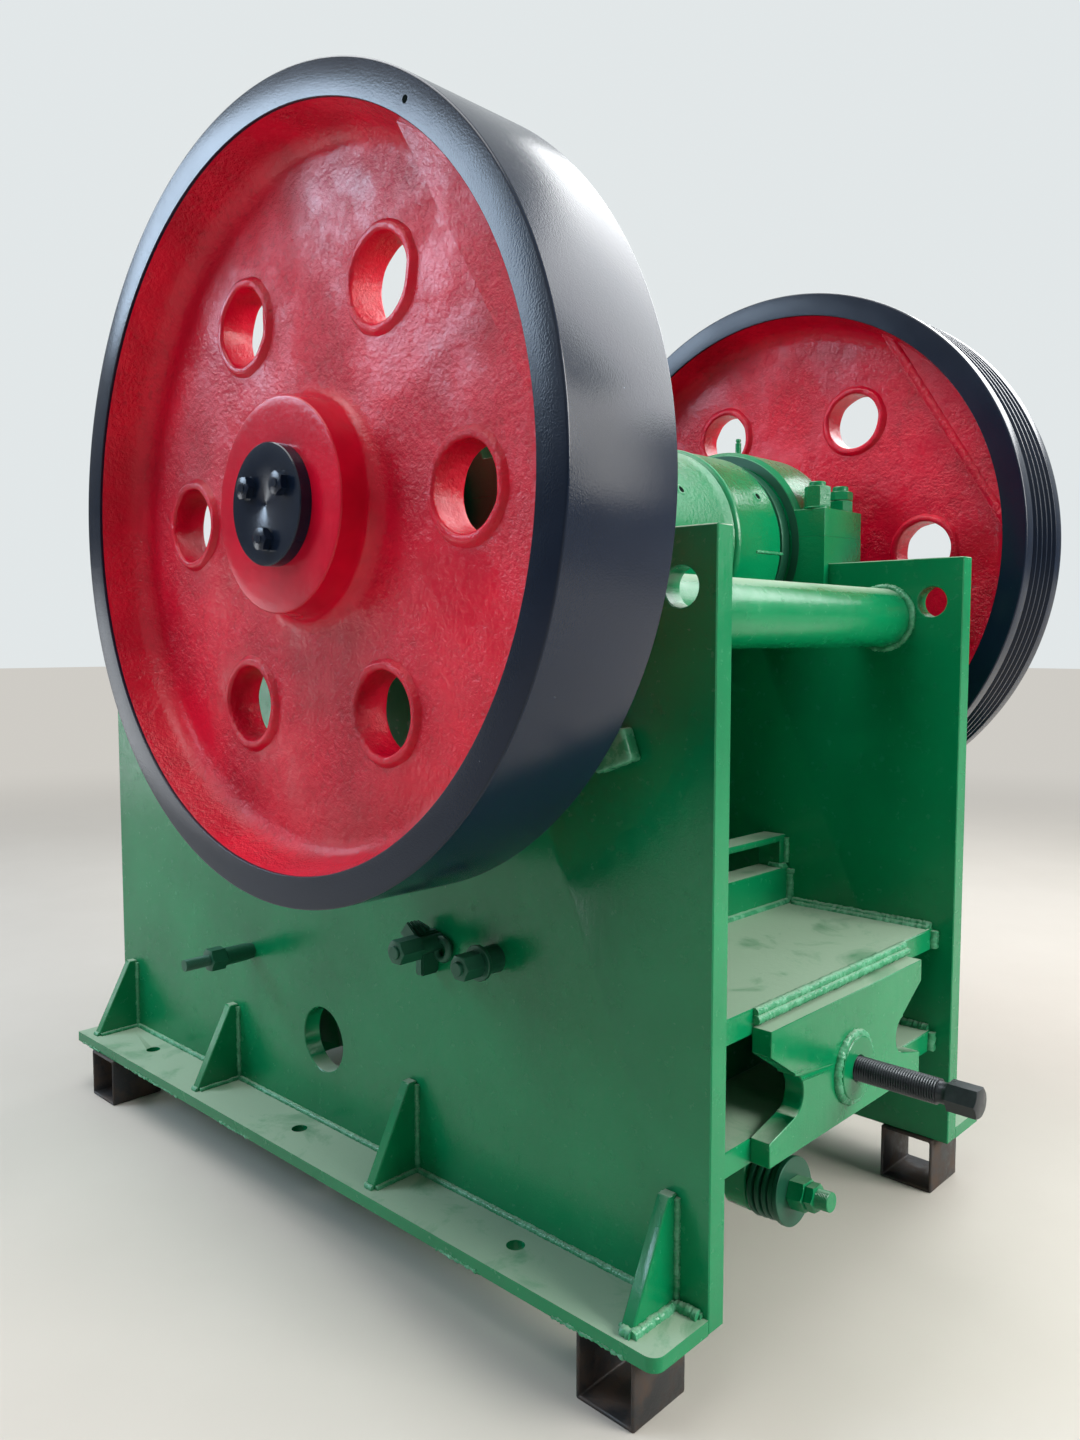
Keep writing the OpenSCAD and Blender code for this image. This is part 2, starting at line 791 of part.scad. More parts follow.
module toggle_frame() {
    in_place() translate([toggle_front[0], 0, toggle_front[1]]) rotate([0, -toggle_tilt, 0]) children();
}

// Back line of a rib: how far back it stands at its hump, waist, calf and foot
rib_hump = 400;
rib_waist = 268;
rib_calf = 232;
rib_foot = 150;
// How far down the seat those places and the heel are
hump_low = 30;
waist_low = 330;
calf_low = 840;
heel_low = 960;
foot_low = 1010;

// Side view of a pitman rib, from the head down to the toggle seat
module rib_side() {
    polygon([
        [face_t, -neck_low], [neck_rear, -neck_high], [rib_hump, -hump_low], [rib_waist, -waist_low],
        [rib_calf, -calf_low], [rib_calf, -heel_low], [rib_foot, -foot_low], [face_t, -jaw_len + 50]
    ]);
}

// Moving jaw casting: its bored head, the neck under it and its front plate
module pitman() {
    color(green) difference() {
        union() {
            at_shaft() translate([ecc_x, 0, ecc_z]) {
                cross_cylinder(head_r, -head_half + 2, head_half - 2);
                for (s = [-1, 1]) scale([1, s, 1])
                    cross_cylinder(head_collar_r, head_half - head_collar_w, head_half);
            }
            jaw_frame() box_from([fit, -back_half, -jaw_len], [face_t, back_half, 40]);
            jaw_frame() across(2 * back_half) polygon([
                [face_t - 1, -neck_low], [face_t, -neck_low], [neck_rear, -neck_high],
                [neck_rear, 40], [face_t - 1, 40]
            ]);
        }
        at_shaft() translate([ecc_x, 0, ecc_z]) cross_cylinder(ecc_r + fit, -head_half - past, head_half + past);
    }
}

// Upright ribs cast on the pitman's back, from the head down to the toe
module pitman_ribs() {
    color(green) difference() {
        jaw_frame() for (y = rib_ys) translate([0, y, 0]) across(rib_t) rib_side();
        at_shaft() translate([ecc_x, 0, ecc_z]) {
            cross_cylinder(head_r + fit, -head_half, head_half);
            for (s = [-1, 1]) scale([1, s, 1])
                cross_cylinder(head_collar_r + fit, head_half - head_collar_w - fit, head_half);
        }
        toggle_frame() box_from([-toe_front, -half_in, -toe_cut], [toe_cut, half_in, slot_high + 22]);
    }
}

// Crosswise bars between those ribs, in three rows
module pitman_bars() {
    rows = [[-355, -320, 250], [-655, -620, 225], [-940, -900, 178]];
    color(green) difference() {
        jaw_frame() for (row = rows) for (i = [0:2])
            box_from([face_t, rib_ys[i] + rib_t / 2, row[0]], [row[2], rib_ys[i + 1] - rib_t / 2, row[1]]);
        toggle_frame() box_from([-toe_front, -half_in, -toe_cut], [toe_cut, half_in, slot_high + 22]);
    }
}

// Root of those lugs on the toe, from the toggle's front seat
lug_root_rear = toggle_front[0] + 20.25;
lug_root_front = toggle_front[0] - 53.75;
lug_root_z = toggle_front[1] - 64.431;

// Toe of the pitman: the toggle's front seat, and the lugs of the tension rod
module pitman_toe() {
    color(green) difference() {
        union() {
            toggle_frame() box_from([-toe_front, -back_half, -slot_low - 24], [30, back_half, slot_high + 22]);
            in_place() for (s = [-1, 1]) translate([rod_eye_x, -rod_y + s * 34, rod_eye_z]) {
                cross_cylinder(34, -10, 10);
                across(20) polygon([
                    [-34, 0], [34, 0],
                    [lug_root_rear - rod_eye_x, lug_root_z - rod_eye_z],
                    [lug_root_front - rod_eye_x, lug_root_z - rod_eye_z]
                ]);
            }
            in_place() translate([rod_eye_x, -rod_y, rod_eye_z]) cross_cylinder(14, -44, 44);
        }
        toggle_frame() box_from([-toggle_gap - seat_r, -half_in, -slot_low], [200, half_in, slot_high]);
    }
}

module moving_jaw_plate() {
    color(steel) jaw_frame() translate([0, 0, -jaw_len + 20]) jaw_plate(jaw_len - 60);
}

// Wedge: how far down the seat it starts, its height at the seat and at its nose
wedge_low = 40;
wedge_h = 76;
wedge_nose = 62;
// How far the nose stays behind the jaw's teeth, at its foot and at its top
nose_foot = 14;
nose_top = 30;

// Wedge bar that clamps the top of the moving jaw
module jaw_wedge() {
    color(steel) jaw_frame() translate([0, 0, -wedge_low + fit]) across(jaw_w - 20)
        polygon([[0, 0], [-die_t + nose_foot, 0], [-die_t + nose_top, wedge_nose], [0, wedge_h]]);
}

rod_len = 874;
rod_eye_x = rod_x - (rod_len - 20) * cos(rod_tilt);
rod_eye_z = rod_z - (rod_len - 20) * sin(rod_tilt);

// Tension rod with its eye, nut and lock nut
module tension_rod() {
    nut = 26;
    color(steel) rod_frame() union() {
        translate([0, 0, -rod_len + 50]) cylinder(r = rod_r, h = rod_len - 50 + 64);
        translate([0, 0, fit]) cylinder(r = rod_r + 10, h = nut, $fn = 6);
        translate([0, 0, nut + 2]) cylinder(r = rod_r + 6, h = 14, $fn = 6);
        difference() {
            translate([0, 0, -rod_len + 20]) rotate([90, 0, 0]) union() {
                cylinder(r = 32, h = 40, center = true);
            }
            translate([0, 0, -rod_len + 20]) rotate([90, 0, 0]) cylinder(r = 14 + fit, h = 60, center = true);
        }
    }
}

// Stack of dished spring discs with an end washer, all on the tension rod
module spring_discs() {
    discs = 4;
    step = (disc_stack - 8) / discs;
    color(green) rod_frame() for (i = [0:discs])
        translate([0, 0, -8 - i * step]) difference() {
            cylinder(r = i == 0 ? disc_r : disc_r - 3, h = i == 0 ? 8 : step - 1.5);
            translate([0, 0, -past]) cylinder(r = rod_r + fit, h = step + 2 * past);
        }
}

side_plate_near();
side_plate_far();
base_flange_near();
base_flange_far();
gussets();
foot_front_near();
foot_front_far();
foot_rear_near();
foot_rear_far();
front_wall();
front_ribs();
front_stiffeners();
jaw_ledge();
fixed_jaw_plate();
cheek_plates();
tie_pipe();
beam_top_plate();
beam_bottom_plate();
beam_bar();
beam_bridge();
rear_screw_plate();
screw_boss();
adjusting_screw();
toggle_block();
toggle_plate();
rod_guide_lug();
plate_lug();
bearing_housings();
bearing_caps();
eccentric_shaft();
flywheel_hub();
flywheel_web();
flywheel_rim();
belt_sheave_hub();
belt_sheave_web();
belt_sheave_rim();
shaft_caps();
pitman();
pitman_ribs();
pitman_bars();
pitman_toe();
moving_jaw_plate();
jaw_wedge();
tension_rod();
spring_discs();
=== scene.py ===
"""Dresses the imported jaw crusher: camera, light, finishes and the small parts.

Lamps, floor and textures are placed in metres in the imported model's own frame, and
pieces in mm from the shaft, through at(). The sections follow the machine as it is put
together, from its side plates to its moving jaw.
"""
import json
import math
import random

import bmesh
import bpy
from mathutils import Matrix, Vector, noise

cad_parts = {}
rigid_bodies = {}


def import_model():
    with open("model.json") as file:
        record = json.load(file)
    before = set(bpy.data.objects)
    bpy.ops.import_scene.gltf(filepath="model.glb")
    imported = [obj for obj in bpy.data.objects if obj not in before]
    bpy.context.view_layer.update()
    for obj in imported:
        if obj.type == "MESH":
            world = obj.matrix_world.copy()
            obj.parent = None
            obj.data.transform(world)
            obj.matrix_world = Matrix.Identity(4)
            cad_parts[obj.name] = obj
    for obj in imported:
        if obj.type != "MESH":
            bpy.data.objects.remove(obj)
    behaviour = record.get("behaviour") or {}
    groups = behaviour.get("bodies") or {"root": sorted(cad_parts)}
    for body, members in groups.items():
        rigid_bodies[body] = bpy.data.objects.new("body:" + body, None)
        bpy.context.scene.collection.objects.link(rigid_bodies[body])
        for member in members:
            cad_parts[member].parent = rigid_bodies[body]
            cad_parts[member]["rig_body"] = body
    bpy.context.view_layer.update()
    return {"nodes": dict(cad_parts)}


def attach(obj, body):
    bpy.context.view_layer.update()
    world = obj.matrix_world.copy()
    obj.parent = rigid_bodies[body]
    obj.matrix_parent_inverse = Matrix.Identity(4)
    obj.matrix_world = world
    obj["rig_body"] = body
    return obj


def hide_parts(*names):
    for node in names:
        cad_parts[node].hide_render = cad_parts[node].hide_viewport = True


# Without a fixed seed the noise vectors would differ from one run to the next
noise.seed_set(7)

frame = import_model()
nodes = frame["nodes"]

# ---- Camera, light and floor ----
# The machine stands on a plain pale floor and is seen from behind its near side,
# from about eye height, as a person would walk up to the toggle end.

# Where the shaft lies from front to back and how high the feet are, in metres. The shaft's
# own height, AXIS_Z, is in mm over the foot flange's underside, as all heights of pieces are
SHAFT_X = 0.22735
FOOT = 0.100
AXIS_Z = 1101
SHAFT_Z = AXIS_Z / 1000
SIDES = ((-1, "near"), (1, "far"))


def at(x, y, z):
    """A point given in mm from the shaft's upright line and the foot flange's underside."""
    return Vector((SHAFT_X + x / 1000, y / 1000, FOOT + z / 1000))


def linked(name, data):
    """A new object for a mesh, lamp or camera, linked to the scene."""
    ob = bpy.data.objects.new(name, data)
    bpy.context.scene.collection.objects.link(ob)
    return ob


eye = linked("eye", bpy.data.cameras.new("eye"))
eye.location = at(1293.0, -1543.0, 917.6)
eye.rotation_euler = (math.radians(90 - 4.19), 0, math.radians(43.61))
eye.data.sensor_width = 36
eye.data.lens = 36 * 1086.31 / 1440
eye.data.clip_end = 80
bpy.context.scene.camera = eye
bpy.context.scene.view_settings.view_transform = "Standard"


def lamp(name, place, aim, size, watts, tint, shade=True, shine=True):
    """A soft square lamp that looks from place to aim, to light surfaces, show in gloss, or both."""
    data = bpy.data.lights.new(name, "AREA")
    data.shape = "RECTANGLE"
    data.size, data.size_y = size
    data.energy = watts
    data.color = tint
    ob = linked(name, data)
    ob.location = place
    ob.rotation_euler = (Vector(aim) - Vector(place)).to_track_quat("-Z", "Y").to_euler()
    ob.visible_camera = False
    ob.visible_diffuse = shade
    ob.visible_glossy = shine


lamp("rear_window", (6.2, 1.6, 3.6), (0.3, 0, 0.9), (3.2, 2.8), 465, (1, 0.99, 0.96))
lamp("left_window", (-3.7, -3.6, 3.3), (0.1, -0.4, 1.3), (2.4, 1.3), 115, (0.62, 0.79, 1))
lamp("left_low_window", (-4.6, -2.9, 0.7), (-0.6, -0.4, 0.6), (1.6, 1.2), 18, (0.9, 0.95, 1))
lamp("far_window", (1.0, 3.9, 4.3), (0.23, -0.6, 1.2), (6.0, 3.2), 140, (0.98, 0.99, 1), shine=False)
# The same window as gloss shows it, set a little behind, so that neither hides the other
lamp("far_window_shine", (1.01, 3.96, 4.34), (0.23, -0.6, 1.2), (6.0, 3.2), 300, (0.98, 0.99, 1), shade=False)
lamp("far_right_window", (4.6, 3.5, 2.5), (0.7, -0.6, 1.2), (1.6, 2.2), 45, (1, 0.98, 0.94))
lamp("roof_window", (-0.8, -1.4, 5.3), (0.1, -0.1, 0.4), (4.4, 3.2), 210, (0.98, 0.99, 1))


def put(tree, kind, inputs=None, out=0, **settings):
    """Adds a node, links or sets its inputs, and returns one of its outputs."""
    made = tree.nodes.new(kind)
    for key, value in settings.items():
        setattr(made, key, value)
    for key, value in (inputs or {}).items():
        if isinstance(value, bpy.types.NodeSocket):
            tree.links.new(value, made.inputs[key])
        else:
            made.inputs[key].default_value = value
    return made.outputs[out]


def maths(tree, operation, *values):
    """One sum over sockets or numbers."""
    return put(tree, "ShaderNodeMath", dict(enumerate(values)), operation=operation)


def scaled(tree, vector, size):
    """A vector times a number."""
    return put(tree, "ShaderNodeVectorMath", {0: vector, "Scale": size}, operation="SCALE")


def vectors(tree, operation, *values, out=0):
    """One sum over sockets or vectors."""
    return put(tree, "ShaderNodeVectorMath", dict(enumerate(values)), out, operation=operation)


def seen_by(tree, *kinds):
    """Gives 1 for these kinds of ray and 0 for all others."""
    rays = tree.nodes.new("ShaderNodeLightPath").outputs
    share = rays[kinds[0]]
    for kind in kinds[1:]:
        share = maths(tree, "MAXIMUM", share, rays[kind])
    return share


class Surface:
    """A material on the Principled shader, with short calls for the nodes that it needs."""

    def __init__(self, name, **fixed):
        self.material = bpy.data.materials.new(name)
        self.material.use_nodes = True
        self.tree = self.material.node_tree
        self.sockets = self.tree.nodes["Principled BSDF"].inputs
        for socket, value in fixed.items():
            self.sockets[socket.replace("_", " ")].default_value = value
        self.where = put(self.tree, "ShaderNodeTexCoord", out="Object")

    def cloud(self, scale, detail, roughness=0.5, where=None, distortion=0.0):
        """Noise over the object's own places, or over others."""
        return put(self.tree, "ShaderNodeTexNoise", {
            "Vector": self.where if where is None else where, "Scale": scale, "Detail": detail,
            "Roughness": roughness, "Distortion": distortion})

    def spread(self, value, low, high, start=0.0, end=1.0):
        """A value's range from low to high, spread from start to end."""
        return put(self.tree, "ShaderNodeMapRange", {
            "Value": value, "From Min": low, "From Max": high, "To Min": start, "To Max": end})

    def blend(self, share, one, two):
        """A mix of two colours."""
        return put(self.tree, "ShaderNodeMix", {0: share, 6: one, 7: two}, out=2, data_type="RGBA")

    def between(self, share, one, two):
        """A mix of two numbers."""
        return put(self.tree, "ShaderNodeMix", {0: share, 2: one, 3: two}, data_type="FLOAT")

    def stretched(self, x, y, z):
        """The object's own places, scaled along each axis."""
        return put(self.tree, "ShaderNodeMapping", {"Vector": self.where, "Scale": (x, y, z)})

    def cover(self, colour, roughness, height=None, distance=0.0, strength=0.0):
        """Links colour, roughness and relief to the shader, and gives the finished material."""
        self.tree.links.new(colour, self.sockets["Base Color"])
        self.tree.links.new(roughness, self.sockets["Roughness"])
        if height is not None:
            relief = put(self.tree, "ShaderNodeBump", {"Height": height, "Distance": distance, "Strength": strength})
            self.tree.links.new(relief, self.sockets["Normal"])
        return self.material


def sky():
    """Even light, with a pale background for the camera and for reflections."""
    world = bpy.data.worlds.new("pale_room")
    bpy.context.scene.world = world
    world.use_nodes = True
    tree = world.node_tree
    tree.nodes.clear()
    seen = seen_by(tree, "Is Camera Ray", "Is Glossy Ray", "Is Transmission Ray")
    even = put(tree, "ShaderNodeBackground", {"Color": (0.95, 0.97, 1.0, 1), "Strength": 0.21})
    way = put(tree, "ShaderNodeTexCoord", out="Generated")
    height = put(tree, "ShaderNodeSeparateXYZ", {0: way}, out=2)
    # Gloss shows a darker room low down, and the pale one from half height up
    above = put(tree, "ShaderNodeMapRange", {"Value": height, "From Min": 0.05, "From Max": 0.45, "To Min": 0.18},
                interpolation_type="SMOOTHSTEP")
    above = maths(tree, "MAXIMUM", above, seen_by(tree, "Is Camera Ray"))
    pale = put(tree, "ShaderNodeBackground", {"Color": (0.76, 0.80, 0.81, 1), "Strength": above})
    both = put(tree, "ShaderNodeMixShader", {0: seen, 1: even, 2: pale})
    tree.links.new(both, tree.nodes.new("ShaderNodeOutputWorld").inputs["Surface"])


def pale_floor(wide=40):
    """A clouded pale floor that fades into the background far from the machine."""
    mesh = bpy.data.meshes.new("floor")
    mesh.from_pydata([(-wide, -wide, 0), (wide, -wide, 0), (wide, wide, 0), (-wide, wide, 0)], [], [(0, 1, 2, 3)])
    paint = Surface("pale_floor", Roughness=0.7)
    tree = paint.tree
    tone = paint.blend(paint.cloud(1.3, 5.0, 0.6), (0.55, 0.515, 0.46, 1), (0.64, 0.605, 0.55, 1))
    tree.links.new(tone, paint.sockets["Base Color"])
    far = vectors(tree, "LENGTH", paint.where, out=1)
    fade = put(tree, "ShaderNodeMapRange", {"Value": far, "From Min": 2.6, "From Max": 7.5},
               interpolation_type="SMOOTHSTEP")
    fade = maths(tree, "MULTIPLY", fade, seen_by(tree, "Is Camera Ray", "Is Glossy Ray"))
    glow = put(tree, "ShaderNodeEmission", {"Color": (0.62, 0.60, 0.56, 1), "Strength": 1.0})
    bare = tree.nodes["Principled BSDF"].outputs["BSDF"]
    both = put(tree, "ShaderNodeMixShader", {0: fade, 1: bare, 2: glow})
    tree.links.new(both, tree.nodes["Material Output"].inputs["Surface"])
    mesh.materials.append(paint.material)
    linked("floor", mesh)


sky()
pale_floor()

# ---- Side plates, foot flanges and gussets ----
# Flame-cut steel plates 35 mm thick, welded to foot flanges with cut gussets and
# sprayed with a thick gloss green enamel. Dust lies on whatever faces up.

GREEN = (0.0008, 0.165, 0.058, 1)
GREEN_LIT = (0.0016, 0.235, 0.084, 1)
DUSTY = (0.34, 0.46, 0.34, 1)

# For each kind of skin: how much dust it holds, its roughness from and to, and its relief in metres
SKINS = {"plate": (1.0, 0.14, 0.30, 0.0011), "cast": (0.45, 0.12, 0.26, 0.0022), "weld": (0.75, 0.18, 0.36, 0.0018)}


def green_enamel(skin):
    """Gloss green paint on plate, on castings or on welds."""
    held, smooth, rough, depth = SKINS[skin]
    paint = Surface("green_enamel_" + skin, Specular_IOR_Level=0.40)
    tree = paint.tree
    fine = paint.cloud(46.0, 4.0, 0.6)
    colour = paint.blend(paint.spread(paint.cloud(2.6, 3.0, 0.55), 0.35, 0.68), GREEN, GREEN_LIT)
    # Dust on faces that look up, thin and worn through in scuffs
    up = put(tree, "ShaderNodeSeparateXYZ", {0: put(tree, "ShaderNodeTexCoord", out="Normal")}, out=2)
    worn = paint.spread(paint.cloud(8.0, 6.0, 0.65, distortion=0.6), 0.30, 0.46, 0.35, 0.9)
    dust = maths(tree, "MULTIPLY", maths(tree, "MULTIPLY", paint.spread(up, 0.72, 0.97), worn), held)
    colour = paint.blend(dust, colour, DUSTY)
    if skin == "weld":
        colour = paint.blend(paint.spread(fine, 0.45, 0.75, 0.15, 0.65), colour, (0.19, 0.52, 0.33, 1))
    matt = paint.between(dust, paint.spread(fine, 0.3, 0.7, smooth, rough), 0.72)
    # Sprayed skin: upright runs on plate, pebbled skin on castings
    scale, along = (75.0, 0.16) if skin == "plate" else (120.0, 1)
    runs = paint.cloud(scale, 3.0, where=paint.stretched(1, 1, along))
    height = paint.between(0.35, runs, paint.cloud(330.0, 2.0, 0.6))
    return paint.cover(colour, matt, height, depth, 0.55)


enamel_plate = green_enamel("plate")
enamel_cast = green_enamel("cast")
enamel_weld = green_enamel("weld")


def smoothed(mesh, angle):
    """Shades a mesh smooth, but for edges sharper than an angle in degrees."""
    for face in mesh.polygons:
        face.use_smooth = True
    mesh.set_sharp_from_angle(angle=math.radians(angle))


def finish(name, mesh, body, paint, stands_for=(), angle=32):
    """Links a finished mesh as a piece that rides on a body."""
    ob = linked(name, mesh)
    if paint.name not in [m.name for m in mesh.materials if m]:
        mesh.materials.append(paint)
    smoothed(mesh, angle)
    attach(ob, body)
    if stands_for:
        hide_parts(*stands_for)


def as_mesh(bm, name):
    """A mesh from a bmesh, which is used up."""
    mesh = bpy.data.meshes.new(name)
    bm.to_mesh(mesh)
    bm.free()
    return mesh


def from_mesh(mesh):
    """A bmesh from a mesh."""
    bm = bmesh.new()
    bm.from_mesh(mesh)
    return bm


def worked(ob):
    """The plain mesh of an object with its modifiers; the object is then dropped."""
    graph = bpy.context.evaluated_depsgraph_get()
    mesh = bpy.data.meshes.new_from_object(ob.evaluated_get(graph))
    ob.modifiers.clear()
    bpy.data.objects.remove(ob)
    return mesh


def eased(node, width, paint, steps=1, rough=0.0, joint=None, sunk=None):
    """A copy of a solid with its edges eased, and its skin moved a little by rough.

    Edges at the height joint stay sharp, and sunk moves corners that another piece covers.
    """
    old = nodes[node]
    bm = from_mesh(old.data)
    bmesh.ops.remove_doubles(bm, verts=bm.verts, dist=2e-5)
    bmesh.ops.dissolve_limit(bm, angle_limit=math.radians(0.6), verts=bm.verts, edges=bm.edges)
    for v in bm.verts if sunk else ():
        v.co = sunk(v.co)
    sharpness = bm.edges.layers.float.new("bevel_weight_edge")
    for edge in bm.edges:
        held = joint is not None and all(abs(v.co.z - joint) < 0.0006 for v in edge.verts)
        edge[sharpness] = 1.0 if edge.calc_face_angle(0) > math.radians(34) and not held else 0.0
    mesh = as_mesh(bm, node + "_eased")
    ob = linked(node + "_eased", mesh)
    edge = ob.modifiers.new("edge", "BEVEL")
    edge.width = width
    edge.segments = steps
    edge.limit_method = "WEIGHT"
    edge.use_clamp_overlap = True
    ob.modifiers.new("even", "WEIGHTED_NORMAL").keep_sharp = True
    smoothed(mesh, 50)
    shaped = worked(ob)
    if rough:
        for v in shaped.vertices:
            v.co += noise.noise_vector(v.co * 55) * rough + noise.noise_vector(v.co * 17) * rough
    shaped.materials.clear()
    finish(node + "_skin", shaped, old["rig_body"], paint, (node,), 50 if steps > 1 else 32)


for plate in ("side_plate_near", "side_plate_far", "base_flange_near", "base_flange_far", "gussets"):
    eased(plate, 0.0016, enamel_plate)


def node_group(name, inputs, output):
    """A geometry node tree with its named inputs, and the sockets that give them."""
    tree = bpy.data.node_groups.new(name, "GeometryNodeTree")
    for label, kind, *value in inputs:
        made = tree.interface.new_socket(label, in_out="INPUT", socket_type="NodeSocket" + kind)
        if value:
            made.default_value = value[0]
    tree.interface.new_socket(output, in_out="OUTPUT", socket_type="NodeSocketGeometry")
    return tree, tree.nodes.new("NodeGroupInput").outputs


def painted(tree, shape, paint, push=None):
    """Ends a tree: its shape is pushed by a vector, made real, painted and given out."""
    if push is not None:
        shape = put(tree, "GeometryNodeSetPosition", {"Geometry": shape, "Offset": push})
    real = put(tree, "GeometryNodeRealizeInstances", {"Geometry": shape})
    done = put(tree, "GeometryNodeSetMaterial", {"Geometry": real, "Material": paint})
    tree.links.new(done, tree.nodes.new("NodeGroupOutput").inputs[0])
    return tree


def weld_tree():
    """Nodes that lay a rippled bead along the edges of a path."""
    tree, given = node_group("weld_bead", (
        ("Path", "Geometry"), ("Bead radius", "Float", 0.007), ("Ripple pitch", "Float", 0.0055),
        ("Ripple height", "Float", 0.0005), ("Lumps", "Float", 0.0035), ("Seed", "Int", 3),
        ("Paint", "Material")), "Bead")
    pitch = given["Ripple pitch"]
    line = put(tree, "GeometryNodeMeshToCurve", {"Mesh": given["Path"]})
    line = put(tree, "GeometryNodeResampleCurve", {"Curve": line, "Length": maths(tree, "DIVIDE", pitch, 3.0)},
               mode="LENGTH")
    keep = tree.nodes.new("GeometryNodeCaptureAttribute")
    keep.capture_items.new("FLOAT", "travelled")
    tree.links.new(line, keep.inputs["Geometry"])
    tree.links.new(put(tree, "GeometryNodeSplineParameter", out="Length"), keep.inputs["travelled"])
    section = put(tree, "GeometryNodeCurvePrimitiveCircle", {"Resolution": 10, "Radius": given["Bead radius"]})
    tube = put(tree, "GeometryNodeCurveToMesh", {
        "Curve": keep.outputs["Geometry"], "Profile Curve": section, "Fill Caps": True})
    turns = maths(tree, "DIVIDE", keep.outputs["travelled"], pitch)
    wave = maths(tree, "SINE", maths(tree, "MULTIPLY", turns, 2 * math.pi))
    ripple = maths(tree, "MULTIPLY", wave, given["Ripple height"])
    lumps = put(tree, "ShaderNodeTexNoise", {"Scale": 130.0, "Detail": 3.0, "W": given["Seed"]},
                noise_dimensions="4D")
    swell = maths(tree, "MULTIPLY", maths(tree, "SUBTRACT", lumps, 0.5), given["Lumps"])
    push = scaled(tree, put(tree, "GeometryNodeInputNormal"), maths(tree, "ADD", ripple, swell))
    return painted(tree, tube, given["Paint"], push)


def grown(carrier, tree, **sizes):
    """Runs a node tree on a mesh, with its named inputs, and returns the plain mesh."""
    ob = linked("carrier", carrier)
    grow = ob.modifiers.new("grow", "NODES")
    grow.node_group = tree
    wanted = {key.replace("_", " ").lower(): value for key, value in sizes.items()}
    for socket in tree.interface.items_tree:
        if socket.in_out == "INPUT" and socket.name.lower() in wanted:
            grow[socket.identifier] = wanted[socket.name.lower()]
    return worked(ob)


weld_bead = weld_tree()


def weld(name, paths, body="frame", radius=7.0, lumps=3.5, seed=3):
    """Weld beads along paths, each a list of points in mm; a path that returns to its start is a ring."""
    points, edges = [], []
    for path in paths:
        ring = (Vector(path[0]) - Vector(path[-1])).length < 0.01
        route = path[:-1] if ring else path
        first = len(points)
        points += [at(*p) for p in route]
        edges += [(first + i, first + i + 1) for i in range(len(route) - 1)]
        if ring:
            edges.append((first + len(route) - 1, first))
    carrier = bpy.data.meshes.new(name)
    carrier.from_pydata(points, edges, [])
    mesh = grown(carrier, weld_bead, Bead_radius=radius / 1000, Lumps=lumps / 1000, Seed=seed,
                 Paint=enamel_weld)
    finish(name, mesh, body, enamel_weld, angle=60)


def polar(reach, degrees, across=0.0, up=0.0):
    """How far across and up a point lies at a reach and an angle from a centre."""
    a = math.radians(degrees)
    return across + reach * math.cos(a), up + reach * math.sin(a)


def ring_path(centre, radius, axis, steps=48):
    """Points round a circle about X or Y."""
    x, y, z = centre
    turns = [polar(radius, 360 * i / steps) for i in range(steps + 1)]
    return [(x, y + u, z + v) if axis == "X" else (x + u, y, z + v) for u, v in turns]


PLATE_IN, PLATE_OUT = 360, 395
FLANGE_TOP, FLANGE_EDGE = 21, 508
GUSSETS = (-1103, -662, -97, 444)
for side, label in SIDES:
    y = side * (PLATE_OUT + 1)
    edges = [-1150] + [x + s * 10 for x in GUSSETS for s in (-1, 1)] + [498]
    flange_runs = [[(a, y, FLANGE_TOP + 1), (b, y, FLANGE_TOP + 1)] for a, b in zip(edges[::2], edges[1::2])]
    weld("flange_welds_" + label, flange_runs, radius=6.5, lumps=5.0, seed=5 + side)
    gusset_runs = []
    for x in GUSSETS:
        for s in (-1, 1):
            gusset_runs.append([(x + s * 11, y, 26), (x + s * 11, y, 172)])
            gusset_runs.append([(x + s * 11, side * 400, 22), (x + s * 11, side * 486, 22)])
        gusset_runs.append([(x - 9, side * 489, 23), (x + 9, side * 489, 23)])
    weld("gusset_welds_" + label, gusset_runs, radius=5.5, lumps=5.5, seed=11 + side)
    # Crumbs of slag and paint that hang on the flange's lower edge
    crumbs = [[(a, side * FLANGE_EDGE, 1.5), (b, side * FLANGE_EDGE, 1.5)]
              for a, b in ((-1135, -1050), (-930, -700), (-545, -430), (90, 185), (330, 455))]
    weld("flange_crumbs_" + label, crumbs, radius=2.2, lumps=11.0, seed=19 + side)
    corner = [[(456, side * 494, 23), (456, side * 404, 23)], [(459, side * 401, 24), (495, side * 401, 24)],
              [(438, side * 492, 23), (456, side * 492, 23)]]
    weld("rear_gusset_welds_" + label, corner, radius=8.5, lumps=12.0, seed=23 + side)

# ---- Feet of square tube ----
# Four offcuts of bare square tube that lie crosswise under the flanges, with dark
# mill scale and brown rust.


def bare_tube_steel():
    """Mill scale that has rusted in patches."""
    steel = Surface("rusty_tube", Metallic=0.35)
    rust = steel.spread(steel.cloud(14.0, 7.0, 0.7), 0.44, 0.62)
    colour = steel.blend(rust, (0.026, 0.027, 0.029, 1), (0.082, 0.056, 0.042, 1))
    return steel.cover(colour, steel.spread(rust, 0, 1, 0.42, 0.85), steel.cloud(260.0, 4.0), 0.0006, 0.6)


rusty_tube = bare_tube_steel()
for foot in ("foot_front_near", "foot_front_far", "foot_rear_near", "foot_rear_far"):
    eased(foot, 0.003, rusty_tube, steps=2)

# ---- Front wall, its ribs and the jaw's ledge ----
# The fixed jaw's wall is thick plate, stiffened in front by three crosswise ribs
# and upright stiffeners, all welded between the side plates.

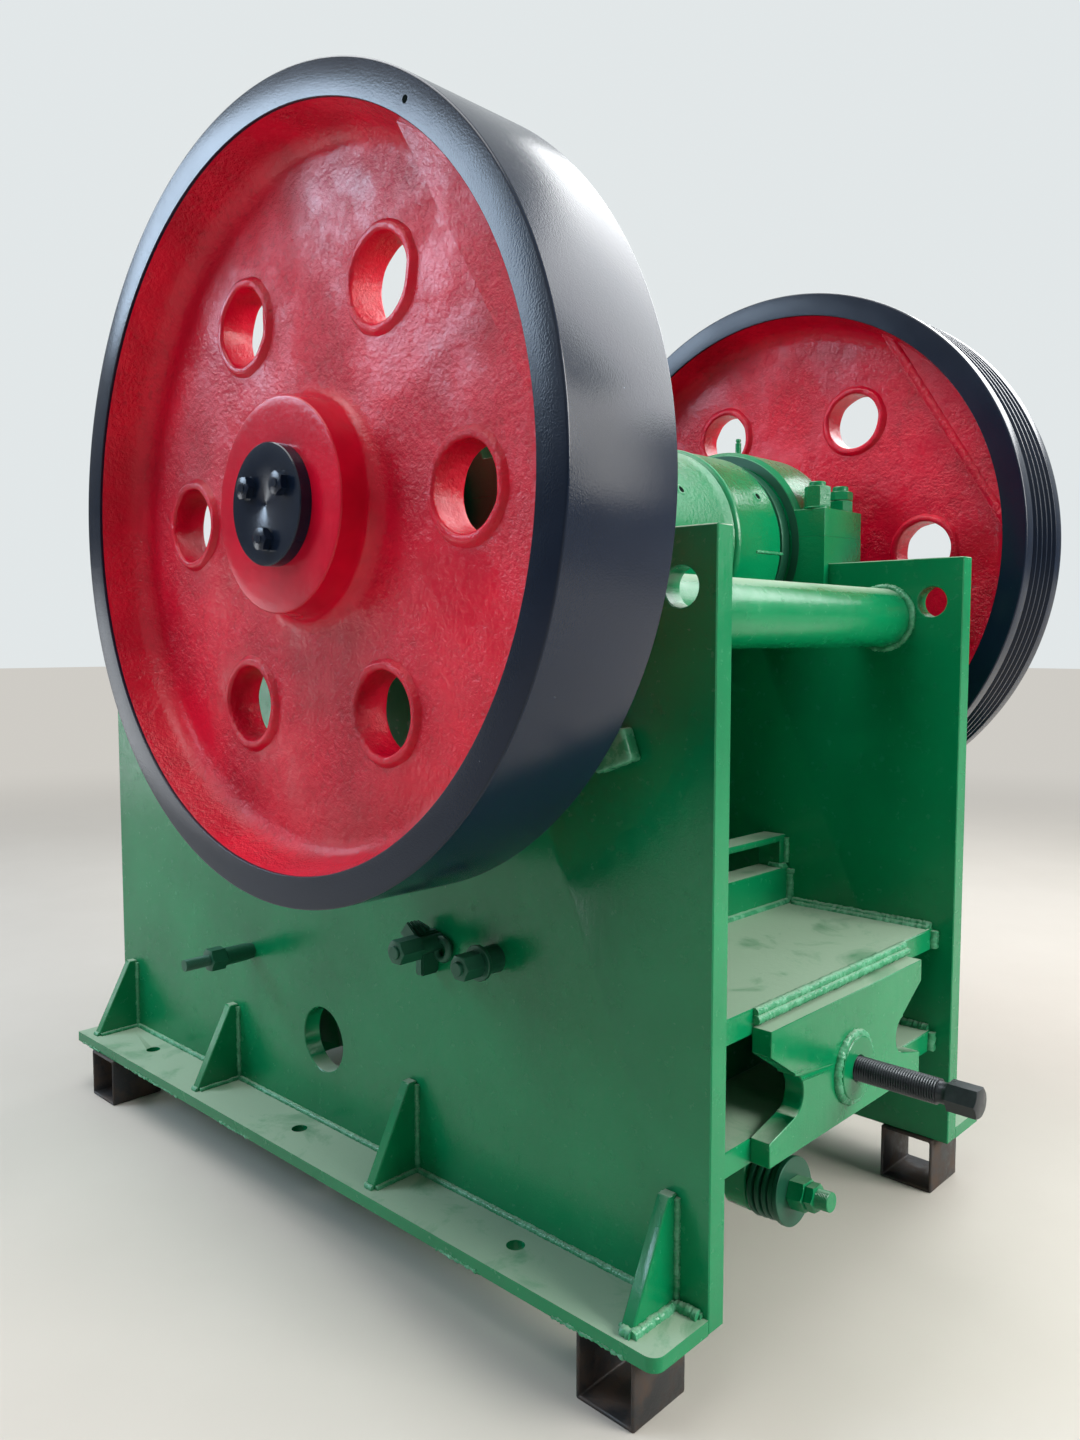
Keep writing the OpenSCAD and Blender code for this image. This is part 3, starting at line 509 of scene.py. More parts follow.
for plate in ("front_wall", "front_ribs", "front_stiffeners", "jaw_ledge"):
    eased(plate, 0.0015, enamel_plate)
WALL_FACE = -894.3
RIB_LEVELS = (110, 535, 960)
rib_runs = []
for z in RIB_LEVELS:
    for y in (1 - PLATE_IN, PLATE_IN - 1):
        rib_runs.append([(WALL_FACE - 4, y, z + 31), (WALL_FACE - 200, y, z + 31)])
    rib_runs.append([(WALL_FACE - 1, -356, z + 31), (WALL_FACE - 1, 356, z + 31)])
for z0, z1 in ((140, RIB_LEVELS[1]), (565, RIB_LEVELS[2])):
    for y in (-180, 0, 180):
        for s in (-1, 1):
            rib_runs.append([(WALL_FACE - 1, y + 13 * s, z0 + 4), (WALL_FACE - 1, y + 13 * s, z1 - 4)])
weld("front_rib_welds", rib_runs, radius=6.0, seed=21)

# ---- Fixed jaw plate and cheek plates ----
# Cast manganese steel with upright teeth, bare and dull grey-brown, held against
# the wall and the sides of the crushing chamber.


def bare_casting(name, dark, light):
    """Unpainted cast steel with a sandy skin and a film of rust."""
    steel = Surface(name, Metallic=0.55)
    film = steel.spread(steel.cloud(9.0, 6.0, 0.65), 0.36, 0.64)
    sand = steel.cloud(210.0, 5.0, 0.7)
    return steel.cover(steel.blend(film, dark, light), steel.spread(sand, 0.3, 0.7, 0.45, 0.72), sand, 0.0012, 0.6)


manganese = bare_casting("manganese_casting", (0.085, 0.072, 0.062, 1), (0.17, 0.155, 0.14, 1))
for plate in ("fixed_jaw_plate", "cheek_plates"):
    eased(plate, 0.003, manganese)

# ---- Toggle beam: plates, bar, bridge and screw plate ----
# Heavy plates welded between the sides carry the toggle's push. The beam's top is
# dusty and scuffed, and its welds are the coarsest on the machine.

for plate in ("beam_top_plate", "beam_bottom_plate", "beam_bar", "beam_bridge", "rear_screw_plate"):
    eased(plate, 0.0018, enamel_plate)
eased("screw_boss", 0.0015, enamel_plate)
eased("toggle_block", 0.003, enamel_plate)

BEAM_TOP = 395
BEAM_REAR = 470
BAR_REAR = 172
runs = []
for side in (-1, 1):
    y = side * (PLATE_IN - 1)
    ends = (BEAM_REAR + 1, side * 357)
    runs += [[(182, y, BEAM_TOP + 1), (468, y, BEAM_TOP + 1)],
             [(186, side * 350, BEAM_TOP - 4), (464, side * 350, BEAM_TOP - 4)],
             [(BAR_REAR, y, BEAM_TOP + 4), (BAR_REAR, y, 462)], [(*ends, 360), (*ends, 392)],
             [(*ends, 170), (*ends, 203)], [(180, y, 206), (466, y, 206)]]
weld("beam_side_welds", runs, radius=10.0, lumps=10.0, seed=31)
weld("bar_weld", [[(BAR_REAR, -352, BEAM_TOP + 1), (BAR_REAR, 352, BEAM_TOP + 1)]], radius=8.0, lumps=4.0, seed=33)
weld("screw_plate_top_weld", [[(475, -240, 379), (475, 240, 379)], [(471, -238, 389), (471, 238, 389)]],
     radius=7.0, lumps=7.0, seed=35)
weld("bridge_welds", [[(165, s * 352, 468), (165, s * 337, 468), (140, s * 337, 468)] for s in (-1, 1)]
     + [[(164, s * 358, 474), (164, s * 358, 524)] for s in (-1, 1)], radius=6.5, lumps=5.0, seed=37)
weld("boss_weld", [ring_path((503, 0, 250), 51.5, "X")], radius=8.0, lumps=10.0, seed=39)

# ---- Toggle plate ----
# A plain cast plate with round ends, the machine's safety piece, greased where it
# turns in its seats.

worked_steel = bare_casting("worked_steel", (0.11, 0.105, 0.10, 1), (0.22, 0.215, 0.205, 1))
eased("toggle_plate", 0.001, worked_steel)

# ---- Adjusting screw ----
# A long fine-threaded screw with a turned neck and a hexagon end, chemically
# blacked and oiled. It pushes the toggle block to set the jaws' gap.


def blacked_steel():
    """Black oxide with an oily sheen, a little paler in patches."""
    steel = Surface("blacked_steel", Metallic=0.6)
    smear = steel.cloud(60.0, 5.0, 0.6)
    colour = steel.blend(smear, (0.012, 0.015, 0.019, 1), (0.048, 0.056, 0.062, 1))
    return steel.cover(colour, steel.spread(smear, 0.3, 0.7, 0.24, 0.45))


blacked = blacked_steel()


def thread_tree():
    """Nodes that cut a helical thread into a rod, with plain ends."""
    tree, given = node_group("cut_thread", (
        ("Blank", "Geometry"), ("Radius", "Float", 0.02), ("Length", "Float", 0.1), ("Pitch", "Float", 0.003),
        ("Thread depth", "Float", 0.0016), ("Paint", "Material")), "Rod")
    rows = maths(tree, "MULTIPLY", maths(tree, "DIVIDE", given["Length"], given["Pitch"]), 5.0)
    rod = put(tree, "GeometryNodeMeshCylinder", {
        "Vertices": 30, "Side Segments": rows, "Radius": given["Radius"], "Depth": given["Length"]})
    x, y, z = put(tree, "ShaderNodeSeparateXYZ", {0: put(tree, "GeometryNodeInputPosition")}).node.outputs
    turn = maths(tree, "DIVIDE", maths(tree, "ARCTAN2", y, x), 2 * math.pi)
    phase = maths(tree, "SUBTRACT", maths(tree, "DIVIDE", z, given["Pitch"]), turn)
    tooth = maths(tree, "PINGPONG", phase, 0.5)
    deep = maths(tree, "MULTIPLY", maths(tree, "MULTIPLY", tooth, given["Thread depth"]), -2.0)
    outward = vectors(tree, "NORMALIZE", put(tree, "ShaderNodeCombineXYZ", {0: x, 1: y}))
    return painted(tree, rod, given["Paint"], scaled(tree, outward, deep))


cut_thread = thread_tree()
THREAD_DEPTH = 0.54  # of the pitch


def threaded_rod(radius, length, pitch, paint):
    """A threaded rod about Z, centred on its middle, sizes in mm."""
    return from_mesh(grown(bpy.data.meshes.new("blank"), cut_thread, Radius=radius / 1000, Length=length / 1000,
                           Pitch=pitch / 1000, Thread_depth=pitch * THREAD_DEPTH / 1000, Paint=paint))


def skinned(bm, rings, profile, spans):
    """Joins each ring of a turned shape to the next with faces, but for those on its axis."""
    for here, there in zip(rings, rings[1:] + rings[:1]):
        for j in range(spans):
            k = (j + 1) % len(profile)
            if profile[j][0] or profile[k][0]:
                bm.faces.new((here[j], there[j], there[k], here[k]))


def turned(profile, steps=64):
    """A solid of revolution about Z from (radius, height) points in mm, closed at radius 0."""
    bm = bmesh.new()
    rings = []
    for i in range(steps):
        a = 2 * math.pi * i / steps
        rings.append([bm.verts.new((r * math.cos(a) / 1000, r * math.sin(a) / 1000, h / 1000)) for r, h in profile])
    loop = profile[0] != profile[-1] and profile[0][0] > 0
    skinned(bm, rings, profile, len(profile) if loop else len(profile) - 1)
    bmesh.ops.remove_doubles(bm, verts=bm.verts, dist=1e-6)
    bmesh.ops.recalc_face_normals(bm, faces=bm.faces)
    return bm


def peg(steps, *outline):
    """A solid of revolution about Z whose outline is closed straight to the axis at both ends."""
    return turned([(0, outline[0][1]), *outline, (0, outline[-1][1])], steps)


def hexagon(across_flats, height, lip=0.0):
    """A chamfered hexagon on z = 0 about Z, in mm, as a bolt head or nut has."""
    apothem = across_flats / 2
    steps = 48
    bm = bmesh.new()
    rows = []
    for level in range(3):
        row = []
        for i in range(steps):
            a = 2 * math.pi * i / steps
            reach = apothem / math.cos((a % (math.pi / 3)) - math.pi / 6)
            drop = max(0.0, (reach - apothem * 0.96)) * 0.55
            r = (reach, reach, apothem * 0.93)[level]
            z = (lip, height - drop, height)[level]
            row.append(bm.verts.new((r * math.cos(a) / 1000, r * math.sin(a) / 1000, z / 1000)))
        rows.append(row)
    for low, high in zip(rows, rows[1:]):
        for i in range(steps):
            j = (i + 1) % steps
            bm.faces.new((low[i], low[j], high[j], high[i]))
    bm.faces.new(list(reversed(rows[0])))
    bm.faces.new(rows[-1])
    return bm


def laid(bm, start, heading):
    """Moves a shape made about Z so that it starts at a place in mm and points along heading."""
    turn = Vector(heading).normalized().to_track_quat("Z", "Y").to_matrix().to_4x4()
    bmesh.ops.transform(bm, matrix=Matrix.Translation(at(*start)) @ turn, verts=bm.verts)
    return bm


def joined(name, parts):
    """One mesh from several bmeshes or meshes, which are used up."""
    total = bmesh.new()
    for part in parts:
        total.from_mesh(as_mesh(part, "spare") if isinstance(part, bmesh.types.BMesh) else part)
    return as_mesh(total, name)


def piece(name, parts, body, paint, stands_for=(), angle=32):
    """Joins shapes into one piece that rides on a body."""
    finish(name, joined(name, parts), body, paint, stands_for, angle)


SCREW_Z = 250
thread_from, thread_to = 360, 641.6
screw_parts = [laid(shape, (x, 0, SCREW_Z), (1, 0, 0)) for shape, x in (
    (peg(64, (19.2, 0), (20, 1), (20, 31), (18.6, 32)), 330.3),
    (threaded_rod(20, thread_to - thread_from, 4.0, blacked), (thread_from + thread_to) / 2),
    (peg(64, (18.5, -2), (16, 1), (16, 15), (17, 17)), thread_to),
    (hexagon(41.5, 45.7), 657.5))]
piece("adjusting_screw_cut", screw_parts, "screw", blacked, ("adjusting_screw",), 40)

# ---- Tie pipe ----
# A round pipe that ties the side plates together at the top of the rear, with a
# weld bead round each of its ends.

eased("tie_pipe", 0.0004, enamel_plate)
weld("tie_pipe_welds", [ring_path((359, s * 358.5, 959), 55.5, "Y") for s in (-1, 1)], radius=7.5, lumps=7.0,
     seed=41)

# ---- Tension rod, its discs and guide lug ----
# The rod hooks under the moving jaw, runs back through a slotted lug under the
# beam, and is held by dished discs, an end washer, a nut and a lock nut.

eased("rod_guide_lug", 0.002, enamel_plate)
TILT = math.radians(5)
ROD_END = Vector((466, -110, 75))
ROD_WAY = Vector((math.cos(TILT), 0, math.sin(TILT)))


def on_rod(distance):
    """A point on the rod's axis, in mm behind the end washer's face."""
    return ROD_END + ROD_WAY * distance


rod_parts = [laid(shape, on_rod(distance), ROD_WAY) for shape, distance in (
    (peg(40, (14.7, 0), (14.7, 808)), -824), (threaded_rod(15, 80, 2.5, enamel_cast), 23),
    (hexagon(44, 26.3), 0.3), (hexagon(38, 13.5), 28.3))]
rod_eye = turned([(14.3, -20), (31, -20), (32, -19), (32, 19), (31, 20), (14.3, 20)], 56)
rod_parts.append(laid(rod_eye, on_rod(-854), (0, 1, 0)))
piece("tension_rod_dressed", rod_parts, "pitman", enamel_cast, ("tension_rod",), 40)


def turned_steel():
    """Turned steel under a film of oil and green overspray."""
    steel = Surface("turned_steel", Metallic=0.3)
    marks = steel.cloud(12.0, 4.0, where=steel.stretched(0.3, 60, 0.3))
    colour = steel.blend(marks, (0.006, 0.062, 0.034, 1), (0.012, 0.115, 0.062, 1))
    return steel.cover(colour, steel.spread(marks, 0, 1, 0.28, 0.5))


oversprayed = turned_steel()


def disc_parts():
    """The end washer and the dished discs, a little askew as they come to rest."""
    washer = [(15.3, 0), (51, 0), (51.8, 0.8), (51.8, 7.2), (51, 8), (15.3, 8)]
    dished = [(16.5, 2.5), (30, 0.8), (44, 0), (47.4, 1.2), (48.6, 4.6), (47.4, 8.2), (44, 9.4), (30, 9.8),
              (16.5, 9.8)]
    made = [laid(turned(washer, 72), on_rod(-8), ROD_WAY)]
    lean = random.Random(7)
    for i in range(4):
        way = ROD_WAY + Vector((0, lean.uniform(-0.02, 0.02), lean.uniform(-0.02, 0.02)))
        made.append(laid(turned(dished, 64), on_rod(-8 - 12 * (i + 1) + 0.8), way))
    return made


# The green discs take the darker oiled-steel paint as painted shade, for the shadow they lie in under the beam
piece("spring_discs_dished", disc_parts(), "pitman", oversprayed, ("spring_discs",), 40)

# ---- Bearing housings and caps ----
# Cast steel housings that sit in the round cradles of the side plates. Each cap is
# drawn down by four studs through its ears, two at the front and two behind.

SPLIT_Z = FOOT + SHAFT_Z + 0.016
for cast in ("bearing_housings", "bearing_caps"):
    eased(cast, 0.005, enamel_cast, steps=3, joint=SPLIT_Z)

# Painted shade: a thin dark ring laid on the ring face of each housing beside the moving jaw stands for the shadow
# between the head and the housing
faces = [laid(turned([(175.5, 0), (190.8, 0), (190.8, 1), (175.5, 1)], 128), (0, s * 341.4, AXIS_Z), (0, s, 0))
         for s in (-1, 1)]
piece("housing_ring_faces", faces, "frame", oversprayed)


def bolt_tree():
    """Nodes that set one shape on each point, facing as the point's own arrow says."""
    tree, given = node_group("set_bolts", (
        ("Places", "Geometry"), ("Bolt", "Object"), ("Seed", "Int", 1), ("Paint", "Material")), "Bolts")
    arrow = put(tree, "GeometryNodeInputNamedAttribute", {"Name": "facing"}, data_type="FLOAT_VECTOR")
    stand = put(tree, "FunctionNodeAlignRotationToVector", {"Vector": arrow}, axis="Z")
    spin = put(tree, "FunctionNodeRandomValue", {2: 0.0, 3: math.pi / 3, "Seed": given["Seed"]}, out=1,
               data_type="FLOAT")
    twist = put(tree, "FunctionNodeAxisAngleToRotation", {"Axis": (0, 0, 1), "Angle": spin})
    pose = put(tree, "FunctionNodeRotateRotation", {0: stand, 1: twist}, rotation_space="LOCAL")
    shape = put(tree, "GeometryNodeObjectInfo", {"Object": given["Bolt"]}, out="Geometry")
    copies = put(tree, "GeometryNodeInstanceOnPoints", {
        "Points": given["Places"], "Instance": shape, "Rotation": pose})
    return painted(tree, copies, given["Paint"])


set_bolts = bolt_tree()


def bolts(name, parts, places, body, paint, seed=1):
    """Copies of one fastener, made about Z from parts, at (place in mm, facing) pairs."""
    shape = linked("shape", joined("shape", parts))
    carrier = bpy.data.meshes.new(name)
    carrier.from_pydata([at(*p) for p, way in places], [], [])
    arrows = carrier.attributes.new("facing", "FLOAT_VECTOR", "POINT")
    for item, (p, way) in zip(arrows.data, places):
        item.vector = way
    mesh = grown(carrier, set_bolts, Bolt=shape, Seed=seed, Paint=paint)
    bpy.data.objects.remove(shape)
    finish(name, mesh, body, paint, angle=34)


def laid_flat(bm, height):
    """Lifts a shape made about Z by a height in mm, with a part turn."""
    bmesh.ops.transform(bm, matrix=Matrix.Translation((0, 0, height / 1000)) @ Matrix.Rotation(0.4, 4, "Z"),
                        verts=bm.verts)
    return bm


EAR_TOP, STUD_X, STUD_ROWS = 1170, 215, (366, 456)
single = [peg(40, (25, 0), (26, 1), (26, 3.4), (25, 4.4)), hexagon(45, 44, 4), peg(32, (16, 40), (16, 51), (14.4, 53))]
double = [peg(40, (24, 0), (25, 1), (25, 3.4), (24, 4.4)), hexagon(43, 24, 4),
          laid_flat(hexagon(42, 17), 25), peg(32, (15.5, 40), (15.5, 50), (14, 52))]
for shape, y in zip((single, double), STUD_ROWS):
    spots = [((s * STUD_X, side * y, EAR_TOP), (0, 0, 1)) for s in (-1, 1) for side in (-1, 1)]
    bolts("cap_nuts_%d" % y, shape, spots, "frame", enamel_cast, seed=4)

# Grease nipples on the caps
nipple = [hexagon(16, 9), turned([(0, 8), (6, 8), (6, 30), (4.2, 31), (4.2, 33), (5.6, 35), (4.6, 39), (0, 40)], 24)]
bolts("grease_nipples", nipple, [((-5, s * 424, 1300), (0, 0, 1)) for s in (-1, 1)], "frame",
      enamel_cast, seed=2)

# ---- Fasteners and the rough block on the near plate ----
# Bolts that hold the cheek plates and the toggle's guides come through the near
# plate, painted over with it, beside a rough block left from lifting.

eased("plate_lug", 0.006, enamel_weld, steps=3, rough=0.0016)


def on_plate(shape, x, z, out=0):
    """Sets a shape on the near plate's outer face, or out mm off it."""
    return laid(shape, (x, -PLATE_OUT - out, z), (0, -1, 0))


# A long stud at the front, then two nuts on short stubs further back
STUD, NUT_MID, NUT_REAR = (-598, 299), (-25, 429), (104, 427)
side_parts = [
    on_plate(peg(32, (15, -2), (17, 20), (17.5, 62), (15.5, 64)), *STUD),
    on_plate(threaded_rod(11.5, 146, 2.5, enamel_cast), *STUD, 73),
    on_plate(hexagon(40, 31), *STUD, 65),
    on_plate(peg(32, (14, -2), (14, 60)), *NUT_MID),
    on_plate(hexagon(36, 44), *NUT_MID, 50),
    on_plate(peg(32, (11, 0), (11, 3), (10, 4)), *NUT_MID, 94),
    on_plate(peg(40, (22, -2), (21, 34)), *NUT_REAR),
    on_plate(peg(48, (27, 0), (28, 1.2), (28, 5.8), (27, 7)), *NUT_REAR, 33),
    on_plate(hexagon(36, 37), *NUT_REAR, 40),
    on_plate(peg(32, (11, 0), (11, 5), (10, 6)), *NUT_REAR, 77),
]
piece("side_bolts", side_parts, "frame", oversprayed, angle=38)


def flat_bar(middle, size, turn=0.0, ease=1.6):
    """A small bar with eased corners, its middle and size in mm, turned about Y."""
    bm = bmesh.new()
    bmesh.ops.create_cube(bm, size=1)
    bmesh.ops.scale(bm, vec=Vector(size) / 1000, verts=bm.verts)
    bmesh.ops.bevel(bm, geom=bm.edges[:], offset=ease / 1000, segments=2, affect="EDGES")
    move = Matrix.Translation(at(*middle)) @ Matrix.Rotation(math.radians(turn), 4, "Y")
    bmesh.ops.transform(bm, matrix=move, verts=bm.verts)
    return bm


# The middle bolt passes a strap with a ring at its back, under three loose square washers
clip = [flat_bar((-38, -PLATE_OUT - 18, 412), (19, 36, 72), ease=3)]
clip += [flat_bar((-47, -PLATE_OUT - 20 - 9 * i, 445), (31, 5, 28), 12 + 9 * i) for i in range(4)]
hoop = [(16 + 6.5 * math.cos(2 * math.pi * k / 14), 6.5 * math.sin(2 * math.pi * k / 14)) for k in range(14)]
clip.append(on_plate(turned(hoop, 36), -10, 420, 9))
piece("side_strap", clip, "frame", oversprayed, angle=38)

# ---- Eccentric shaft ----
# Forged and turned, with collars that close the bearings beside the moving jaw.
# Only its collars and short stubs show between the housings and the wheels.

eased("eccentric_shaft", 0.0015, oversprayed, steps=2)

# ---- Flywheel and belt sheave ----
# Heavy iron castings. Webs and hubs keep their sand-cast skin under gloss red; the
# rims are turned and painted blue-black. The counterweights are cast in place.

# The rims' inner face, width, radius and bore, and the pitch of the belt grooves
RIM_IN, RIM_W, WHEEL_R, RIM_BORE, BELT_PITCH = 536, 186, 550, 504.6, 25.5
WEB_MID = 93
# The web is left wavy from one radius to the other, with waves of this height in metres
WAVY_FROM, WAVY_TO, CAST_WAVES = 160, 500, 0.0019


def cast_red():
    """Gloss red over a coarse sand-cast skin, with painted shade in the low places of its relief."""
    paint = Surface("red_on_casting", Specular_IOR_Level=0.30)
    tree = paint.tree
    tone = paint.spread(paint.cloud(4.5, 4.0, 0.6), 0.35, 0.65)
    colour = paint.blend(tone, (0.46, 0.002, 0.020, 1), (0.76, 0.004, 0.034, 1))
    # The hub is turned, so its skin is smooth; the web is rough in patches
    middle = vectors(tree, "SUBTRACT", paint.where, (SHAFT_X, 0, FOOT + SHAFT_Z))
    reach = vectors(tree, "LENGTH", vectors(tree, "MULTIPLY", middle, (1, 0, 1)), out=1)
    web = paint.spread(reach, 0.149, 0.170, 0.10)
    patches = paint.spread(paint.cloud(6.5, 3.0, 0.6), 0.40, 0.62, 0.28, 0.95)
    rough = maths(tree, "MULTIPLY", web, patches)
    coarse = paint.cloud(88.0, 5.0, 0.66, distortion=0.2)
    skin = paint.cloud(210.0, 3.0, 0.6)
    # Painted shade: on the rough patches, the low places of the coarse relief are darkened
    low = maths(tree, "MULTIPLY", paint.spread(coarse, 0.30, 0.5, 0.4, 0.0), rough)
    colour = paint.blend(low, colour, (0.16, 0.003, 0.010, 1))
    height = paint.between(0.3, coarse, skin)
    return paint.cover(colour, paint.spread(skin, 0.3, 0.7, 0.12, 0.24), height, 0.0060, rough)


def rim_black():
    """Satin blue-black over turned iron, with a few chips."""
    paint = Surface("blue_black_rim", Specular_IOR_Level=0.33)
    cloud = paint.cloud(5.0, 5.0, 0.6)
    colour = paint.blend(cloud, (0.0030, 0.0075, 0.019, 1), (0.0050, 0.0120, 0.030, 1))
    chips = paint.spread(paint.cloud(58.0, 3.0, 0.7), 0.74, 0.79)
    colour = paint.blend(chips, colour, (0.16, 0.18, 0.21, 1))
    return paint.cover(colour, paint.spread(cloud, 0.3, 0.7, 0.15, 0.24), paint.cloud(420.0, 2.0), 0.0004, 0.4)


red_casting = cast_red()
black_rim = rim_black()


def rounded(corners):
    """A closed outline from (radius, distance, fillet) corners, with its fillets drawn in."""
    made = []
    count = len(corners)
    for i, (r, y, fillet) in enumerate(corners):
        here = Vector((r, y))
        before = Vector(corners[i - 1][:2]) - here
        after = Vector(corners[(i + 1) % count][:2]) - here
        a, b = before.normalized(), after.normalized()
        half = a.angle(b) / 2
        cut = min(fillet / math.tan(half), before.length * 0.48, after.length * 0.48)
        if fillet <= 0 or cut < 0.05:
            made.append((here.x, here.y))
            continue
        radius = cut * math.tan(half)
        centre = here + (a + b).normalized() * (radius / math.sin(half))
        start, end = here + a * cut - centre, here + b * cut - centre
        sweep = math.atan2(start.x * end.y - start.y * end.x, start.dot(end))
        steps = max(2, int(abs(sweep) / math.radians(12)))
        for k in range(steps + 1):
            t = sweep * k / steps
            made.append((centre.x + start.x * math.cos(t) - start.y * math.sin(t),
                         centre.y + start.x * math.sin(t) + start.y * math.cos(t)))
    return made


def spaced(outline, longest):
    """The outline with its long straights divided."""
    made = []
    for i, p in enumerate(outline):
        q = outline[(i + 1) % len(outline)]
        parts = max(1, int(math.dist(p, q) / longest))
        made += [(p[0] + (q[0] - p[0]) * k / parts, p[1] + (q[1] - p[1]) * k / parts) for k in range(parts)]
    return made


# Half section of web and hub: radius, distance from the rim's inner face, fillet
WEB_AND_HUB = [(70.4, -43, 0), (147, -43, 8), (152, 72, 30), (490, 72, 34), (505.4, 0.8, 0), (505.4, 185.2, 0),
               (490, 114, 34), (152, 114, 26), (147, 170, 3), (70.4, 170, 0)]
HOLE_LIP = [(56.5, 65, 5), (67, 65, 6), (76, 75.5, 0), (64, 80, 0), (64, 106, 0), (76, 110.5, 0), (67, 121, 6),
            (56.5, 121, 5)]
HOLE_RING, HOLE_R = 0.322, 0.0565
# The counterweight: how far its straight edge lies from the axis, which way it faces, and its arc's radius
WEIGHT_EDGE, WEIGHT_WAY, WEIGHT_R = 425.0, 32, 0.504


def rim_outline(grooved):
    """Half section of a rim: distance runs from its inner face to its outer face."""
    corners = [(RIM_BORE, 0, 1.2), (WHEEL_R, 0, 3)]
    if grooved:
        half, deep, mouth = 3.9, 19.0, 10.6
        for i in range(5):
            middle = RIM_W / 2 + (i - 2) * BELT_PITCH
            corners += [(WHEEL_R, middle - mouth, 0.8), (WHEEL_R - deep, middle - half, 0.8),
                        (WHEEL_R - deep, middle + half, 0.8), (WHEEL_R, middle + mouth, 0.8)]
    return rounded(corners + [(WHEEL_R, RIM_W, 3), (RIM_BORE, RIM_W, 1.2)])


def lathed(outline, steps=256):
    """A ring about the shaft from its half section; a rough casting's web is left wavy."""
    bm = bmesh.new()
    rings = []
    for i in range(steps):
        a = 2 * math.pi * i / steps
        ring = []
        for r, y in outline:
            p = Vector((r * math.cos(a), y, r * math.sin(a))) / 1000
            if WAVY_FROM < r < WAVY_TO and abs(y - WEB_MID) < 73:
                wave = noise.noise(p * 9 + Vector((3, 0, 1))) + 0.5 * noise.noise(p * 31) + 0.2 * noise.noise(p * 80)
                way = 1 if y > WEB_MID else -1
                p.y += wave * CAST_WAVES * min(1.0, (r - WAVY_FROM) / 30, (WAVY_TO - r) / 20) * way
            ring.append(bm.verts.new(p))
        rings.append(ring)
    skinned(bm, rings, outline, len(outline))
    bmesh.ops.recalc_face_normals(bm, faces=bm.faces)
    return bm


def hole_spots():
    """The middles of a web's six holes."""
    rounds = [polar(HOLE_RING, 60 * i) for i in range(6)]
    return [Vector((x, WEB_MID / 1000, z)) for x, z in rounds]


def bored_web(name):
    """Web and hub of one wheel, with its six holes cut through."""
    blank = linked(name + "_blank", as_mesh(lathed(spaced(rounded(WEB_AND_HUB), 11)), name))
    cutters = bmesh.new()
    for spot in hole_spots():
        bmesh.ops.create_cone(cutters, cap_ends=True, segments=48, radius1=HOLE_R + 0.003, radius2=HOLE_R + 0.003,
                              depth=0.12, matrix=Matrix.Translation(spot) @ Matrix.Rotation(math.pi / 2, 4, "X"))
    cutter = linked(name + "_cutter", as_mesh(cutters, name + "_cutter"))
    hole = blank.modifiers.new("holes", "BOOLEAN")
    hole.operation = "DIFFERENCE"
    hole.object = cutter
    hole.solver = "EXACT"
    bored = worked(blank)
    bpy.data.objects.remove(cutter)
    return bored


def hole_lips():
    """A rounded lip of uneven skin for each of a web's holes."""
    made = []
    for spot in hole_spots():
        ring = turned([(r, -(y - WEB_MID)) for r, y in spaced(rounded(HOLE_LIP), 8)], 48)
        bmesh.ops.rotate(ring, cent=(0, 0, 0), matrix=Matrix.Rotation(math.pi / 2, 3, "X"), verts=ring.verts)
        bmesh.ops.translate(ring, vec=spot, verts=ring.verts)
        for v in ring.verts:
            v.co += noise.noise_vector(v.co * 38) * 0.0016
        made.append(ring)
    return made


def counterweight():
    """A segment of a disc, cast on both faces of the web, with a soft ridge along its inner edge."""
    widest = math.acos(WEIGHT_EDGE / (WEIGHT_R * 1000))
    steps = 20
    arc = [widest * (k / steps - 1) for k in range(2 * steps + 1)]
    weight = bmesh.new()
    low = [weight.verts.new((WEIGHT_R * math.cos(t), 0.038, WEIGHT_R * math.sin(t))) for t in arc]
    high = [weight.verts.new((v.co.x, 0.148, v.co.z)) for v in low]
    weight.faces.new(low)
    weight.faces.new(list(reversed(high)))
    for i in range(len(low)):
        j = (i + 1) % len(low)
        weight.faces.new((low[j], low[i], high[i], high[j]))
    bmesh.ops.recalc_face_normals(weight, faces=weight.faces)
    chord = [e for e in weight.edges if all(abs(v.co.x - WEIGHT_EDGE / 1000) < 1e-4 for v in e.verts)
             and abs(e.verts[0].co.y - e.verts[1].co.y) < 1e-6]
    bmesh.ops.bevel(weight, geom=chord, offset=0.022, segments=8, affect="EDGES")
    turn = Matrix.Rotation(-math.radians(WEIGHT_WAY), 3, "Y")
    bmesh.ops.rotate(weight, cent=(0, 0, 0), matrix=turn, verts=weight.verts)
    half = WEIGHT_R * math.sin(widest) - 0.014
    carrier = bpy.data.meshes.new("ridge")
    ends = [turn @ Vector((WEIGHT_EDGE / 1000 + 0.018, 0.045, s * half)) for s in (-1, 1)]
    carrier.from_pydata(ends, [(0, 1)], [])
    ridge = grown(carrier, weld_bead, Bead_radius=0.0115, Ripple_height=0.0, Lumps=0.004, Seed=61, Paint=red_casting)
    return [weight, ridge]


def web_casting(name):
    """Web and hub of one wheel with its bored holes, their lips and the counterweight."""
    return joined(name, [bored_web(name), *hole_lips(), *counterweight()])


def set_on_shaft(mesh, side):
    """Puts a wheel's mesh in its place, mirrored on the near side."""
    bm = from_mesh(mesh)
    bmesh.ops.translate(bm, vec=(0, RIM_IN / 1000, 0), verts=bm.verts)
    if side < 0:
        bmesh.ops.scale(bm, vec=(1, -1, 1), verts=bm.verts)
        bmesh.ops.reverse_faces(bm, faces=bm.faces)
    bmesh.ops.translate(bm, vec=(SHAFT_X, 0, FOOT + SHAFT_Z), verts=bm.verts)
    return as_mesh(bm, mesh.name)


